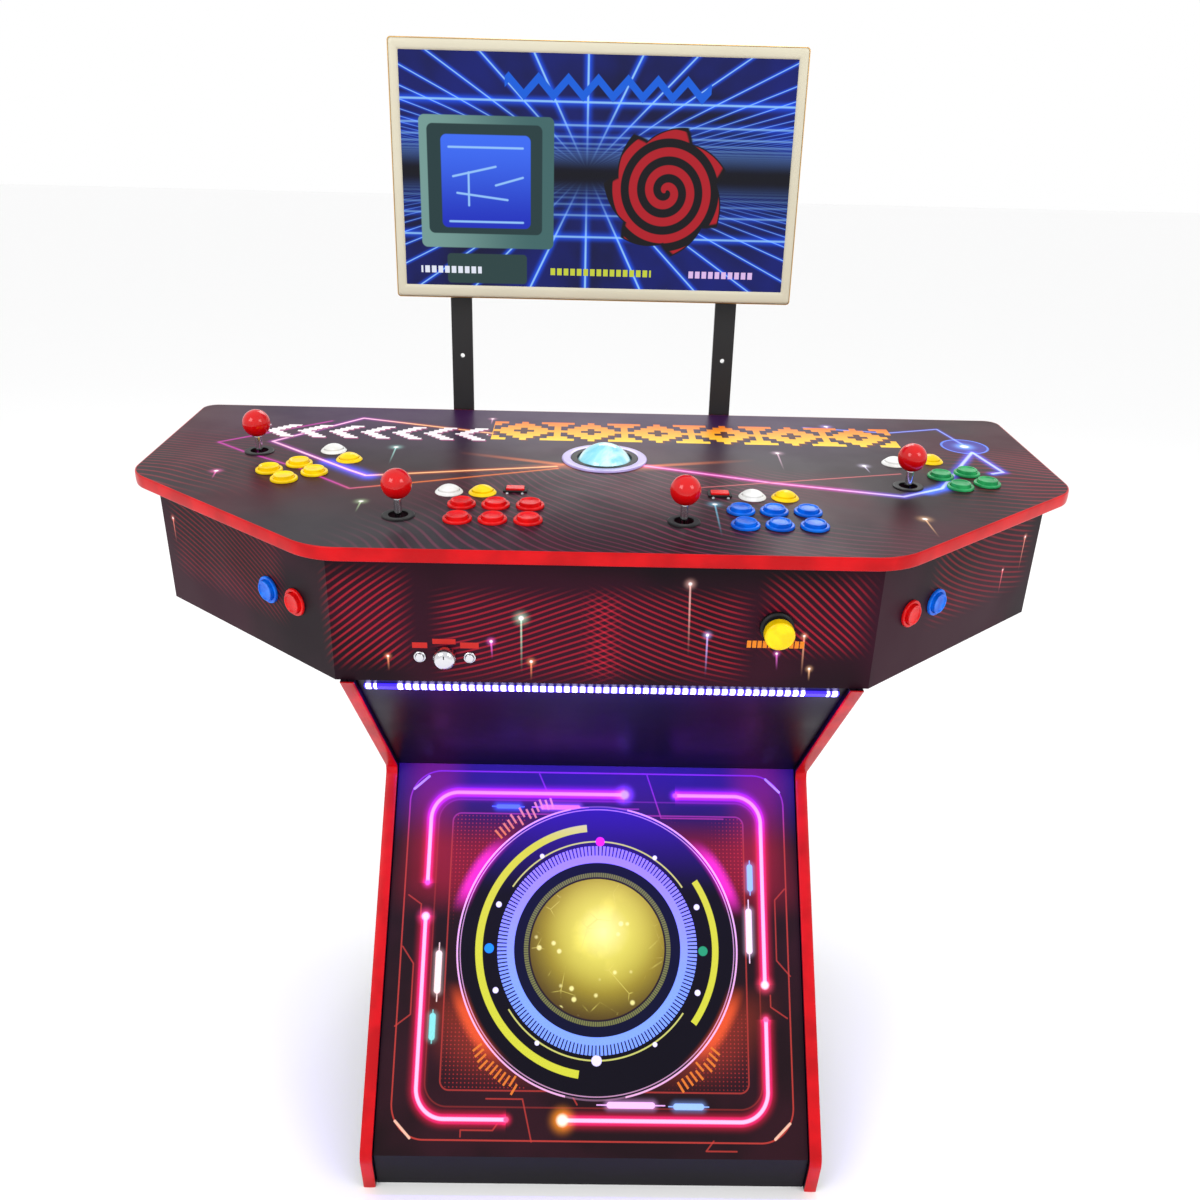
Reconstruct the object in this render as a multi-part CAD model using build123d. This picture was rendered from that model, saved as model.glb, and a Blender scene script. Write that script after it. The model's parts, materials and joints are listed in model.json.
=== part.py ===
from build123d import *
import os
from math import cos, hypot, radians, sin, sqrt, tan

# Four-player pedestal arcade cabinet, in millimetres.
# +Z is up, the players stand on the -Y side, and the origin is on the floor, at the
# middle of the pedestal.  The control deck is drawn flat, with x to the right, s from its
# front edge to the back and h up from its top face, and is then set on its slope.

# ---- driving sizes: deck ------------------------------------------------------------
panel_width = 1172.0
panel_front_width = 632.0        # straight front edge, corner to corner
panel_wing_depth = 224.0         # how far back the slanted wings run
panel_depth = 525.0
panel_thickness = 16.0
front_corner_radius = 90.0
side_corner_radius = 60.0
rear_corner_radius = 20.0
deck_slope = 4.0                 # degrees, rising to the back
deck_front_height = 882.0        # top face at the front edge
panel_overhang = 28.0            # panel edge beyond the box walls
box_wall = 16.0
box_height = 160.0               # underside of the panel to the underside of the floor
box_floor_thickness = 16.0
moulding_proud = 2.0
spine_depth = 8.0                # barb of the T-moulding, pushed into a slot
spine_thickness = 2.0

# ---- driving sizes: pedestal --------------------------------------------------------
pedestal_width = 600.0
pedestal_depth = 525.0
side_thickness = 16.0
deck_reach = 45.0                # toe of the pedestal in front of the deck's front edge
toe_height = 63.0
toe_setback = 12.0               # foot of the toe behind its top
waist_height = 458.0
waist_setback = 318.0            # waist behind the toe
top_setback = 82.0               # top front corner behind the toe
toe_radius = 22.0
waist_radius = 14.0
front_inset = 6.0                # front boards behind the side boards' edges
front_thickness = 16.0
cover_thickness = 12.0
cover_inset = 4.0
bottom_thickness = 16.0
cleat = 22.0                     # square battens that boards are screwed to
board_gap = 1.0                  # between a board and the side boards

# ---- driving sizes: monitor ---------------------------------------------------------
screen_width = 521.0
screen_height = 293.0
display_setback = 2.0            # front of the display module behind the bezel's face
display_gap = 1.5                # between the module and the back of the case
bezel_side = 13.5
bezel_top = 15.0
bezel_bottom = 17.0
bezel_lip = 3.0                  # how far the bezel laps over the glass
monitor_thickness = 40.0
case_wall = 2.5
screen_centre_height = 1247.0
monitor_shift = -17.0            # the monitor and its posts hang a little to the left
post_spacing = 380.0
post_width = 30.0
post_thickness = 6.0
post_bottom = 745.0
post_top = 1330.0
post_hole_pitch = 160.0
post_first_hole = 837.0
post_clearance = 5.0             # posts behind the panel's rear edge
mount_plate_width = 420.0
mount_plate_height = 140.0
mount_plate_thickness = 3.0
vesa_pitch = 100.0

# ---- driving sizes: controls --------------------------------------------------------
button_rim_radius = 16.7
button_rim_height = 3.4
button_barrel_radius = 14.0
button_bore_radius = 12.7
button_cap_radius = 12.3
button_cap_height = 7.2
button_dome_height = 9.5
button_travel = 3.0
button_barrel_length = 26.0
nut_radius = 17.3
nut_height = 5.0
switch_length = 20.0
switch_width = 6.4
switch_height = 10.0
small_bezel = (29.0, 19.0)
small_cap = (22.0, 13.0)
small_bezel_height = 2.4
small_cap_height = 4.6
small_depth = 14.0
small_travel = 1.5
stick_ball_radius = 17.5
stick_ball_height = 38.0         # ball centre above the panel
stick_shaft_radius = 4.5
stick_stud_radius = 3.0
stick_pivot_depth = 34.0         # pivot below the panel's top face
stick_shaft_bottom = 62.0
stick_tilt = 7.0                 # degrees each way
washer_radius = 19.0
washer_bore_radius = 11.5
washer_thickness = 1.6
gimbal_radius = 12.0
gimbal_bore_radius = 7.5
gimbal_height = 8.0
pivot_pin_radius = 1.5
stick_body = 60.0
stick_body_height = 36.0
stick_body_bore = 13.0
stick_plate = (62.0, 94.0, 1.6)
actuator_radius = 7.0
ball_radius = 38.1               # trackball, three inches across
ball_depth = 17.0                # ball centre below the panel's top face
ball_clearance = 0.6
ball_opening_radius = 35.2
ball_ring_radius = 56.0
ball_ring_height = 2.5
ball_tube_radius = 41.5
ball_case = 100.0
ball_case_bottom = 62.0
roller_radius = 4.0
roller_length = 14.0
roller_gap = 0.35
knob_radius = 13.0
knob_height = 17.0
menu_rim_radius = 7.0
menu_cap_radius = 4.8
menu_travel = 1.5
plunger_knob_radius = 17.0
plunger_knob_height = 14.0
plunger_rod_radius = 5.0
plunger_collar_radius = 19.5
plunger_collar_height = 6.0
plunger_standoff = 6.0
plunger_travel = 30.0
running_gap = 0.06               # shaft in a bore
hole_gap = 0.2                   # bought-in part in its board

# Each player's set of controls: place of the stick on the panel, turn of the set in
# degrees, and the buttons from the stick, to that player's right and away from them.
PLAYERS = {
    "p1": {"at": (-450.0, 312.0), "turn": -50.0, "columns": (77.5, 118.0), "rows": (-23.0, 17.5),
           "start": (54.6, 78.0), "select": (98.4, 76.5)},
    "p2": {"at": (-235.0, 95.5), "turn": 0.0, "columns": (67.5, 107.0, 147.0), "rows": (-9.0, 37.0),
           "start": (48.0, 79.0), "select": (88.0, 79.0), "small": (126.5, 90.0)},
    "p3": {"at": (88.0, 93.5), "turn": 0.0, "columns": (69.0, 108.0, 147.5), "rows": (-9.0, 35.5),
           "start": (88.7, 84.0), "select": (128.2, 83.5), "small": (50.0, 90.0)},
    "p4": {"at": (377.5, 226.0), "turn": 20.0, "columns": (62.0, 102.5), "rows": (-22.0, 19.0),
           "start": (34.8, 81.6), "select": (87.2, 76.2)},
}
trackball_at = (0.0, 309.0)
flipper_along = {"front": 61.0, "rear": 111.0}   # from the box's front corner
flipper_depth = 97.0                             # below the panel's top face
knob_at = (-179.0, 142.0)
menu_buttons = {"left": (-208.0, 144.0), "right": (-151.5, 144.0)}
plunger_at = (193.0, 98.0)

# ---- worked-out places --------------------------------------------------------------
slope = radians(deck_slope)
deck_front_y = -pedestal_depth / 2 + deck_reach
deck = Plane(origin=(0, deck_front_y, deck_front_height), x_dir=(1, 0, 0),
             z_dir=(0, -sin(slope), cos(slope)))
box_bottom = panel_thickness + box_height        # below the panel's top face


def on_deck(x, s, h):
    """World point of a deck point: the deck's plane turned by its slope about x."""
    return (x, deck_front_y + s * cos(slope) - h * sin(slope),
            deck_front_height + s * sin(slope) + h * cos(slope))


def meet(p, q, r, t):
    """Point where the line through p and q crosses the line through r and t."""
    ax, ay, bx, by = q[0] - p[0], q[1] - p[1], t[0] - r[0], t[1] - r[1]
    k = ((r[0] - p[0]) * by - (r[1] - p[1]) * bx) / (ax * by - ay * bx)
    return (p[0] + k * ax, p[1] + k * ay)


def inset(points, distance):
    """Corners of a counter-clockwise outline whose edges move inwards by the distance.

    The distance is one number, or one for each edge that starts at a corner.
    """
    count = len(points)
    distances = distance if isinstance(distance, (list, tuple)) else [distance] * count
    lines = []
    for i, d in enumerate(distances):
        (x0, y0), (x1, y1) = points[i], points[(i + 1) % count]
        length = hypot(x1 - x0, y1 - y0)
        nx, ny = -(y1 - y0) / length * d, (x1 - x0) / length * d
        lines.append(((x0 + nx, y0 + ny), (x1 + nx, y1 + ny)))
    return [meet(*lines[i - 1], *lines[i]) for i in range(count)]


def outline(points, radii):
    """Face of a closed outline with each corner rounded by its radius."""
    return make_face(FilletPolyline(*points, radius=radii, close=True))


def slab(face, low, high):
    """Solid of a flat face drawn in the x-y plane, from one height to another."""
    return Pos(0, 0, low) * extrude(face, high - low, dir=(0, 0, 1))


def crosswise(face, start, width):
    """Solid of a face drawn in the y-z plane, from x = start across a width."""
    return Pos(start, 0, 0) * extrude(Plane.YZ * face, width, dir=(1, 0, 0))


def tube(outer, inner, low, high):
    """Ring about z between two radii and two heights."""
    height = high - low
    return Pos(0, 0, (low + high) / 2) * (Cylinder(outer, height) - Cylinder(inner, height + 1))


def rod(radius, low, high):
    """Cylinder about z between two heights."""
    return Pos(0, 0, (low + high) / 2) * Cylinder(radius, high - low)


def block(size_x, size_y, low, high):
    """Box about the z axis between two heights."""
    return Pos(0, 0, (low + high) / 2) * Box(size_x, size_y, high - low)


def save(name, *shapes):
    """Write the solids of one node to its STEP file."""
    solids = [solid for shape in shapes for solid in shape.solids()]
    part = Compound(children=solids)
    part.label = name
    export_step(part, f"parts/{name}.step")


# ---- where the controls sit, in deck coordinates ------------------------------------
def set_place(player, offset):
    """Deck point of a control: the player's stick plus the offset, turned with the set."""
    turn = radians(player["turn"])
    u, v = offset
    x, s = player["at"]
    return (x + u * cos(turn) - v * sin(turn), s + u * sin(turn) + v * cos(turn))


panel_buttons = {}               # name: (place on the deck, is it domed)
small_buttons = {}
for key, player in PLAYERS.items():
    number = 0
    for row in reversed(player["rows"]):
        for column in player["columns"]:
            number += 1
            panel_buttons[f"{key}_button_{number}"] = (set_place(player, (column, row)), False)
    for word in ("start", "select"):
        panel_buttons[f"{key}_{word}_button"] = (set_place(player, player[word]), True)
    if "small" in player:
        small_buttons[f"{key}_small_button"] = set_place(player, player["small"])

half_width, half_front = panel_width / 2, panel_front_width / 2
deck_corners = [(-half_front, 0), (half_front, 0), (half_width, panel_wing_depth),
                (half_width, panel_depth), (-half_width, panel_depth), (-half_width, panel_wing_depth)]
deck_radii = [front_corner_radius, front_corner_radius, side_corner_radius,
              rear_corner_radius, rear_corner_radius, side_corner_radius]
box_outer = inset(deck_corners, panel_overhang)
box_inner = inset(box_outer, box_wall)


def at_panel(place, turn=0.0):
    """Location on the panel's top face."""
    return Location((place[0], place[1], 0), (0, 0, turn))


def at_front(place):
    """Location on the box's front wall: x and depth below the panel's top, z outwards."""
    return Plane(origin=(place[0], panel_overhang, -place[1]), x_dir=(1, 0, 0),
                 z_dir=(0, -1, 0)).location


def at_wing(side, along):
    """Location on a wing wall, along from the front corner; side is -1 left, +1 right."""
    corner, far = (box_outer[0], box_outer[5]) if side < 0 else (box_outer[1], box_outer[2])
    length = hypot(far[0] - corner[0], far[1] - corner[1])
    ex, ey = (far[0] - corner[0]) / length, (far[1] - corner[1]) / length
    origin = (corner[0] + ex * along, corner[1] + ey * along, -flipper_depth)
    return Plane(origin=origin, x_dir=(side * ex, side * ey, 0), z_dir=(side * ey, -side * ex, 0)).location


flippers = {f"{word}_flipper_{place}": at_wing(side, along)
            for word, side in (("left", -1), ("right", 1))
            for place, along in flipper_along.items()}


# ---- bought-in controls, each drawn about its own z axis ----------------------------
def button_cap(domed):
    """Plunger of a round button: a cylinder with a flat or a domed top."""
    if not domed:
        cap = rod(button_cap_radius, -button_barrel_length / 3, button_cap_height)
        return fillet(cap.edges().sort_by(Axis.Z)[-1], 1.2)
    edge = button_rim_height + 1.6
    rise = button_dome_height - edge
    ball = (button_cap_radius ** 2 + rise ** 2) / (2 * rise)
    dome = Pos(0, 0, button_dome_height - ball) * Sphere(ball)
    return rod(button_cap_radius, -button_barrel_length / 3, button_dome_height) & (
        dome + rod(button_cap_radius, -button_barrel_length / 3, edge))


def button_housing(domed):
    """Rim and threaded barrel, the nut under the board, and the microswitch."""
    barrel_end = -button_barrel_length
    barrel = tube(button_barrel_radius, button_bore_radius, barrel_end, 0)
    rim = tube(button_rim_radius, button_bore_radius, 0, button_rim_height)
    top = rim.edges().filter_by(GeomType.CIRCLE).group_by(Axis.Z)[-1].sort_by(SortBy.RADIUS)[-1]
    rim = chamfer(top, 2.6) if domed else fillet(top, 1.4)
    floor = rod(button_barrel_radius, barrel_end - 1.5, barrel_end)
    nut = tube(nut_radius, button_barrel_radius + hole_gap, -panel_thickness - nut_height, -panel_thickness)
    switch = block(switch_length, switch_width, barrel_end - 1.5 - switch_height, barrel_end - 1.5)
    return [barrel + rim + floor, nut, switch]


def small_cap_solid():
    """Cap of the small rectangular button."""
    cap = block(*small_cap, -small_depth / 2, small_cap_height)
    return fillet(cap.edges().filter_by(Axis.Z), 1.5)


def small_housing():
    """Bezel and body of the small rectangular button."""
    bezel = fillet(block(*small_bezel, 0, small_bezel_height).edges().filter_by(Axis.Z), 2.5)
    width, depth = small_cap[0] + 2.4, small_cap[1] + 2.4
    body = block(width, depth, -small_depth - 4, 0)
    pocket = block(small_cap[0] + 0.6, small_cap[1] + 0.6, -small_depth, small_bezel_height + 1)
    return bezel + body - pocket


def stick():
    """Ball top on its shaft, with the cross pin of the pivot and the actuator below."""
    z = stick_ball_height
    ball = Pos(0, 0, z) * Sphere(stick_ball_radius) - rod(stick_stud_radius + 0.05, z - stick_ball_radius - 1, z)
    neck = z - sqrt(stick_ball_radius ** 2 - stick_shaft_radius ** 2)
    shaft = rod(stick_shaft_radius, -stick_shaft_bottom, neck - 0.3) + rod(stick_stud_radius, 0, z)
    pin = Pos(0, 0, -stick_pivot_depth) * Rot(0, 90, 0) * Cylinder(pivot_pin_radius, 2 * gimbal_radius - 1)
    actuator = rod(actuator_radius, -stick_shaft_bottom, -stick_shaft_bottom + 9)
    return [ball, shaft + pin + actuator]


def stick_gimbal():
    """Ring that the stick rocks in; its own pins lie front to back."""
    ring = tube(gimbal_radius, gimbal_bore_radius, -gimbal_height / 2, gimbal_height / 2)
    ring -= Rot(0, 90, 0) * Cylinder(pivot_pin_radius + running_gap, 2 * gimbal_radius + 1)
    for side in (-1, 1):
        pin = Rot(90, 0, 0) * Cylinder(pivot_pin_radius, 8)
        ring += Pos(0, side * (gimbal_radius + 3), 0) * pin
    return Pos(0, 0, -stick_pivot_depth) * ring


def stick_housing():
    """Steel plate and body under the panel, four microswitches, and the dust washer on top."""
    top = -panel_thickness
    plate_low = top - stick_plate[2]
    bore = rod(stick_body_bore, -200, 0)
    plate = block(stick_plate[0], stick_plate[1], plate_low, top) - bore
    body = block(stick_body, stick_body, plate_low - stick_body_height, plate_low) - bore
    seat = Pos(0, 0, -stick_pivot_depth) * Rot(90, 0, 0)
    body -= seat * Cylinder(pivot_pin_radius + running_gap, 2 * (gimbal_radius + 7) + 1)
    washer = tube(washer_radius, washer_bore_radius, 0, washer_thickness)
    switches = []
    low = -stick_shaft_bottom
    for turn in range(4):
        place = Rot(0, 0, 90 * turn) * Pos(actuator_radius + 4.6 + switch_width / 2, 0, 0)
        switches.append(place * block(switch_width, 18, low - 1.5, low + 6))
    return [plate, body, washer] + switches


def trackball_housing():
    """Top ring, the two halves of the cup, and the three rollers that the ball runs on."""
    centre = Pos(0, 0, -ball_depth)
    ring = tube(ball_ring_radius, ball_opening_radius, 0, ball_ring_height)
    ring = fillet(ring.edges().filter_by(GeomType.CIRCLE).group_by(Axis.Z)[-1].sort_by(SortBy.RADIUS)[-1], 1.5)
    cavity = centre * Sphere(ball_radius + ball_clearance)
    upper = rod(ball_tube_radius, -ball_depth, 0) - cavity - rod(ball_opening_radius, -2, 1)
    lower = rod(ball_tube_radius, -ball_depth - 6, -ball_depth)
    lower += block(ball_case, ball_case, -ball_case_bottom, -ball_depth - 6)
    lower -= cavity
    rollers = []
    reach = ball_radius + roller_gap + roller_radius
    for turn in (0, 90, 225):
        aim = Rot(0, 0, turn) * Rot(0, 38, 0) * Pos(reach, 0, 0) * Rot(90, 0, 0)
        lower -= centre * aim * Cylinder(roller_radius + 1, roller_length + 2)
        rollers.append(centre * aim * Cylinder(roller_radius, roller_length))
    return [ring, upper, lower] + rollers


def menu_cap():
    """Cap of the small metal push button."""
    return fillet(rod(menu_cap_radius, -6, 3.4).edges().sort_by(Axis.Z)[-1], 0.8)


def menu_housing():
    """Rim and barrel of the small metal push button."""
    shell = rod(menu_rim_radius, 0, 2.2) + rod(menu_rim_radius - 1, -box_wall - 6, 0)
    return shell - rod(menu_cap_radius + 0.3, -10, 5)


def volume_knob():
    """Turned knob with a domed end, on the potentiometer's shaft."""
    body = fillet(rod(knob_radius, 1.0, knob_height).edges().sort_by(Axis.Z)[-1], 5.0)
    marker = Pos(0, knob_radius - 3.5, knob_height) * Box(1.2, 4, 2)
    return body - marker + rod(3, -box_wall - 4, 1)


def potentiometer():
    """Bush through the wall and the body behind it."""
    bore = rod(3 + running_gap, -box_wall - 6, 1)
    return rod(4.5, -box_wall - 1, 0.6) + rod(8, -box_wall - 12, -box_wall - 1) - bore


def pull_plunger():
    """Round knob on a rod, with a stop washer at the rod's inner end."""
    face = plunger_collar_height + plunger_standoff
    knob = rod(plunger_knob_radius, face, face + plunger_knob_height)
    knob = fillet(knob.edges().filter_by(GeomType.CIRCLE), 3.0)
    length = box_wall + plunger_travel + 32
    return knob + rod(plunger_rod_radius, -length, face + 1) + rod(8, -length, -length + 3)


def plunger_sleeve():
    """Collar on the wall and the sleeve that guides the rod."""
    collar = rod(plunger_collar_radius, 0, plunger_collar_height)
    collar = fillet(collar.edges().sort_by(Axis.Z)[-1], 2.0)
    return collar + rod(10, -box_wall - 14, 0) - rod(plunger_rod_radius + running_gap, -100, 50)


# ---- control deck -------------------------------------------------------------------
def deck_outline(distance):
    """Deck outline moved inwards by a distance, its corner radii with it."""
    return outline(inset(deck_corners, distance), [radius - distance for radius in deck_radii])


panel_face = deck_outline(moulding_proud)
spine_low = -panel_thickness / 2 - spine_thickness / 2
panel_groove = slab(panel_face - deck_outline(moulding_proud + spine_depth), spine_low,
                    spine_low + spine_thickness)
panel_moulding = slab(deck_outline(0) - panel_face, -panel_thickness, 0) + panel_groove
control_panel = slab(panel_face, -panel_thickness, 0) - panel_groove
for place, domed in panel_buttons.values():
    control_panel -= at_panel(place) * rod(button_barrel_radius + hole_gap, -30, 10)
for place in small_buttons.values():
    cut = block(small_cap[0] + 2.4 + 2 * hole_gap, small_cap[1] + 2.4 + 2 * hole_gap, -30, 10)
    control_panel -= at_panel(place) * cut
for player in PLAYERS.values():
    control_panel -= at_panel(player["at"]) * rod(washer_bore_radius + 2, -30, 10)
control_panel -= at_panel(trackball_at) * rod(ball_tube_radius + hole_gap, -30, 10)

box_boards = []
for i in range(6):
    j = (i + 1) % 6
    wall = Polygon(box_outer[i], box_outer[j], box_inner[j], box_inner[i], align=None)
    box_boards.append(slab(wall, -box_bottom, -panel_thickness))
wall_cuts = [place * rod(button_barrel_radius + hole_gap, -40, 10) for place in flippers.values()]
wall_cuts += [at_front(place) * rod(menu_rim_radius - 1 + hole_gap, -40, 10) for place in menu_buttons.values()]
wall_cuts.append(at_front(knob_at) * rod(4.5 + hole_gap, -40, 10))
wall_cuts.append(at_front(plunger_at) * rod(10 + hole_gap, -40, 10))
for cut in wall_cuts:
    box_boards = [board - cut for board in box_boards]
cable_hole = Pos(0, 330, 0) * rod(30, -box_bottom - 5, -box_height + 20)
floor_board = slab(Polygon(*box_inner, align=None), -box_bottom, -box_bottom + box_floor_thickness)
box_boards.append(floor_board - cable_hole)

# Monitor posts stand on wedges against the leaning rear wall.
rear_s = panel_depth - panel_overhang
post_y = on_deck(0, panel_depth, 0)[1] + post_clearance
post_x = [monitor_shift - post_spacing / 2, monitor_shift + post_spacing / 2]
wall_top = on_deck(0, rear_s, -panel_thickness - 20)[1:]
wall_low = on_deck(0, rear_s, -box_bottom + 10)[1:]
wedge_face = Polygon(wall_top, wall_low, (post_y, wall_low[1]), (post_y, wall_top[1]), align=None)
bolt_heights = [post_first_hole - 60, post_first_hole]
wedges, posts, post_bolts = [], [], []
for x in post_x:
    post = Pos(x, post_y + post_thickness / 2, (post_bottom + post_top) / 2) * Box(
        post_width, post_thickness, post_top - post_bottom)
    wedge = crosswise(wedge_face, x - post_width / 2, post_width)
    z = post_first_hole
    while z < post_top - post_hole_pitch:
        z += post_hole_pitch
        post -= Pos(x, post_y, z) * Rot(90, 0, 0) * Cylinder(3.2, 40)
    for z in bolt_heights:
        drill = Pos(x, post_y, z) * Rot(90, 0, 0) * Cylinder(3.2, 130)
        post -= drill
        wedge -= drill
        box_boards = [board - deck.location.inverse() * drill for board in box_boards]
        shank = Pos(x, post_y + post_thickness, z) * Rot(90, 0, 0)
        post_bolts.append(shank * (rod(3.0, 0, 60) + rod(6.0, -3.6, 0)))
    wedges.append(wedge)
    posts.append(post)

# ---- monitor ------------------------------------------------------------------------
screen_z = screen_centre_height
monitor_front = post_y - mount_plate_thickness - monitor_thickness
case_width = screen_width + 2 * bezel_side
case_low = screen_z - screen_height / 2 - bezel_bottom
case_high = screen_z + screen_height / 2 + bezel_top
case_mid = (case_low + case_high) / 2
bezel_depth = 10.0


def upright(width, height, front, back, z):
    """Box standing behind the front face, between two depths from it."""
    return Pos(monitor_shift, monitor_front + (front + back) / 2, z) * Box(width, back - front, height)


bezel = upright(case_width, case_high - case_low, 0, bezel_depth, case_mid)
bezel -= upright(screen_width, screen_height, -1, bezel_depth, screen_z)
bezel -= upright(screen_width + 2 * bezel_lip, screen_height + 2 * bezel_lip, display_setback,
                 bezel_depth + 1, screen_z)
rear_case = upright(case_width, case_high - case_low, bezel_depth, monitor_thickness, case_mid)
rear_case -= upright(case_width - 2 * case_wall, case_high - case_low - 2 * case_wall,
                     bezel_depth - 1, monitor_thickness - case_wall, case_mid)
screen = upright(screen_width + 2 * bezel_lip - 0.6, screen_height + 2 * bezel_lip - 0.6,
                 display_setback, bezel_depth, screen_z)
screen += upright(case_width - 2 * case_wall - 4, case_high - case_low - 2 * case_wall - 4,
                  bezel_depth, monitor_thickness - case_wall - display_gap, case_mid)
mount_plate = Pos(monitor_shift, post_y - mount_plate_thickness / 2, screen_z) * Box(
    mount_plate_width, mount_plate_thickness, mount_plate_height)
vesa_screws = []
for dx in (-vesa_pitch / 2, vesa_pitch / 2):
    for dz in (-vesa_pitch / 2, vesa_pitch / 2):
        place = Pos(monitor_shift + dx, post_y, screen_z + dz) * Rot(90, 0, 0)
        mount_plate -= place * Cylinder(2.2, 20)
        rear_case -= place * Cylinder(2.2, 20)
        vesa_screws.append(place * (rod(2.0, 0, mount_plate_thickness + 2) + rod(3.8, -2.4, 0)))
for x in post_x:
    for dz in (-45, 45):
        place = Pos(x, post_y + post_thickness, screen_z + dz) * Rot(90, 0, 0)
        hole = place * Cylinder(2.7, 30)
        mount_plate -= hole
        posts = [post - hole for post in posts]
        vesa_screws.append(place * (rod(2.5, 0, post_thickness + mount_plate_thickness - 0.5) + rod(4.5, -2.8, 0)))

# ---- pedestal -----------------------------------------------------------------------
toe_y = -pedestal_depth / 2
under_front = on_deck(0, 0, -box_bottom)[1:]
under_rear = on_deck(0, panel_depth, -box_bottom)[1:]
toe_foot, toe_top = (toe_y + toe_setback, 0.0), (toe_y, toe_height)
waist = (toe_y + waist_setback, waist_height)
top_aim = (toe_y + top_setback, 706.0)
top_front = meet(waist, top_aim, under_front, under_rear)
rear_foot = (pedestal_depth / 2, 0.0)
top_rear = meet(rear_foot, (pedestal_depth / 2, 10.0), under_front, under_rear)
profile = [toe_foot, rear_foot, top_rear, top_front, waist, toe_top]
profile_radii = [0, 0, 0, 0, waist_radius, toe_radius]
proud = [0, -moulding_proud, 0, -moulding_proud, -moulding_proud, -moulding_proud]
barb = [0, spine_depth, 0, spine_depth, spine_depth, spine_depth]
side_face = outline(profile, profile_radii)
moulded_face = outline(inset(profile, proud), [0, 0, 0, 0, waist_radius - moulding_proud,
                                               toe_radius + moulding_proud])
spine_face = side_face - outline(inset(profile, barb), [0, 0, 0, 0, waist_radius + spine_depth,
                                                        toe_radius - spine_depth])
side_boards, side_mouldings = [], []
for x in (-pedestal_width / 2, pedestal_width / 2 - side_thickness):
    board = crosswise(side_face, x, side_thickness)
    strip = crosswise(moulded_face - side_face, x, side_thickness)
    spine = crosswise(spine_face, x + (side_thickness - spine_thickness) / 2, spine_thickness)
    side_boards.append(board - spine)
    side_mouldings.append(strip + spine)

inner_width = pedestal_width - 2 * side_thickness
front_width = inner_width - 2 * board_gap


def front_chain(distance):
    """Line of the front boards at a distance behind the side boards' front edge."""
    edge = [0, 0, 0, distance, distance, distance]
    foot, _, _, top, bend, toe = inset(profile, edge)
    return [foot, toe, bend, top]


def across(points, width, x=0.0):
    """Board with a profile in the y-z plane, centred across the cabinet."""
    return crosswise(Polygon(*points, align=None), x - width / 2, width)


near, far = front_chain(front_inset), front_chain(front_inset + front_thickness)
toe_board, lower_front_panel, recess_board = [
    across([near[i], near[i + 1], far[i + 1], far[i]], front_width) for i in range(3)]
cover_back = pedestal_depth / 2 - cover_inset
cover_front = cover_back - cover_thickness
cover_top = meet((cover_front, 0), (cover_front, 10), under_front, under_rear)[1] - 2
rear_cover = across([(cover_front, 2), (cover_back, 2), (cover_back, cover_top), (cover_front, cover_top)],
                    front_width)
vent = Pos(0, cover_front, 0)
for row in range(7):
    rear_cover -= Pos(0, cover_front, 560 + 12 * row) * Box(160, 60, 5)
rear_cover -= Pos(0, cover_front, 90) * fillet(Box(64, 60, 36).edges().filter_by(Axis.Y), 8)
bottom_front = meet(far[0], far[1], (0, bottom_thickness), (1, bottom_thickness))[0]
bottom_board = across([(bottom_front, 0), (cover_front, 0), (cover_front, bottom_thickness),
                       (bottom_front, bottom_thickness)], front_width)

# Battens: two upright behind the rear cover's edges, two under the deck.
cleat_x = inner_width / 2 - board_gap - cleat / 2
rear_cleats, deck_cleats, cover_screws, deck_bolts = [], [], [], []
for side in (-1, 1):
    upright_cleat = across([(cover_front - cleat, bottom_thickness), (cover_front, bottom_thickness),
                            (cover_front, cover_top - 30), (cover_front - cleat, cover_top - 30)],
                           cleat, side * cleat_x)
    for z in (80, 360, 640):
        place = Pos(side * cleat_x, cover_back, z) * Rot(90, 0, 0)
        hole = place * rod(2.1, -5, cover_thickness + 16)
        rear_cover -= hole
        upright_cleat -= hole
        cover_screws.append(place * (rod(2.0, 0, cover_thickness + 14) + rod(4.0, -2.4, 0)))
    rear_cleats.append(upright_cleat)
    batten = Pos(side * cleat_x, 270, -box_bottom - cleat / 2) * Box(cleat, 300, cleat)
    for s in (160, 380):
        place = Pos(side * cleat_x, s, -box_bottom + box_floor_thickness)
        hole = place * rod(3.2, -60, 5)
        batten -= hole
        box_boards = [board - hole for board in box_boards]
        deck_bolts.append(place * (rod(3.0, -box_floor_thickness - cleat + 2, 0) + rod(6.0, 0, 3.6)))
    deck_cleats.append(deck.location * batten)

# ---- light strip on the recess board, just under the deck ---------------------------
strip_drop, strip_width, strip_thickness, strip_length = 19.0, 9.0, 3.5, 552.0
top_y, top_z = near[3]
bend_y, bend_z = near[2]
face_length = hypot(bend_y - top_y, bend_z - top_z)
down = ((bend_y - top_y) / face_length, (bend_z - top_z) / face_length)
strip_plane = Plane(origin=(0, top_y + down[0] * strip_drop, top_z + down[1] * strip_drop),
                    x_dir=(1, 0, 0), z_dir=(0, down[1], -down[0]))
light_strip = strip_plane.location * block(strip_length, strip_width, 0, strip_thickness)

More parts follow.
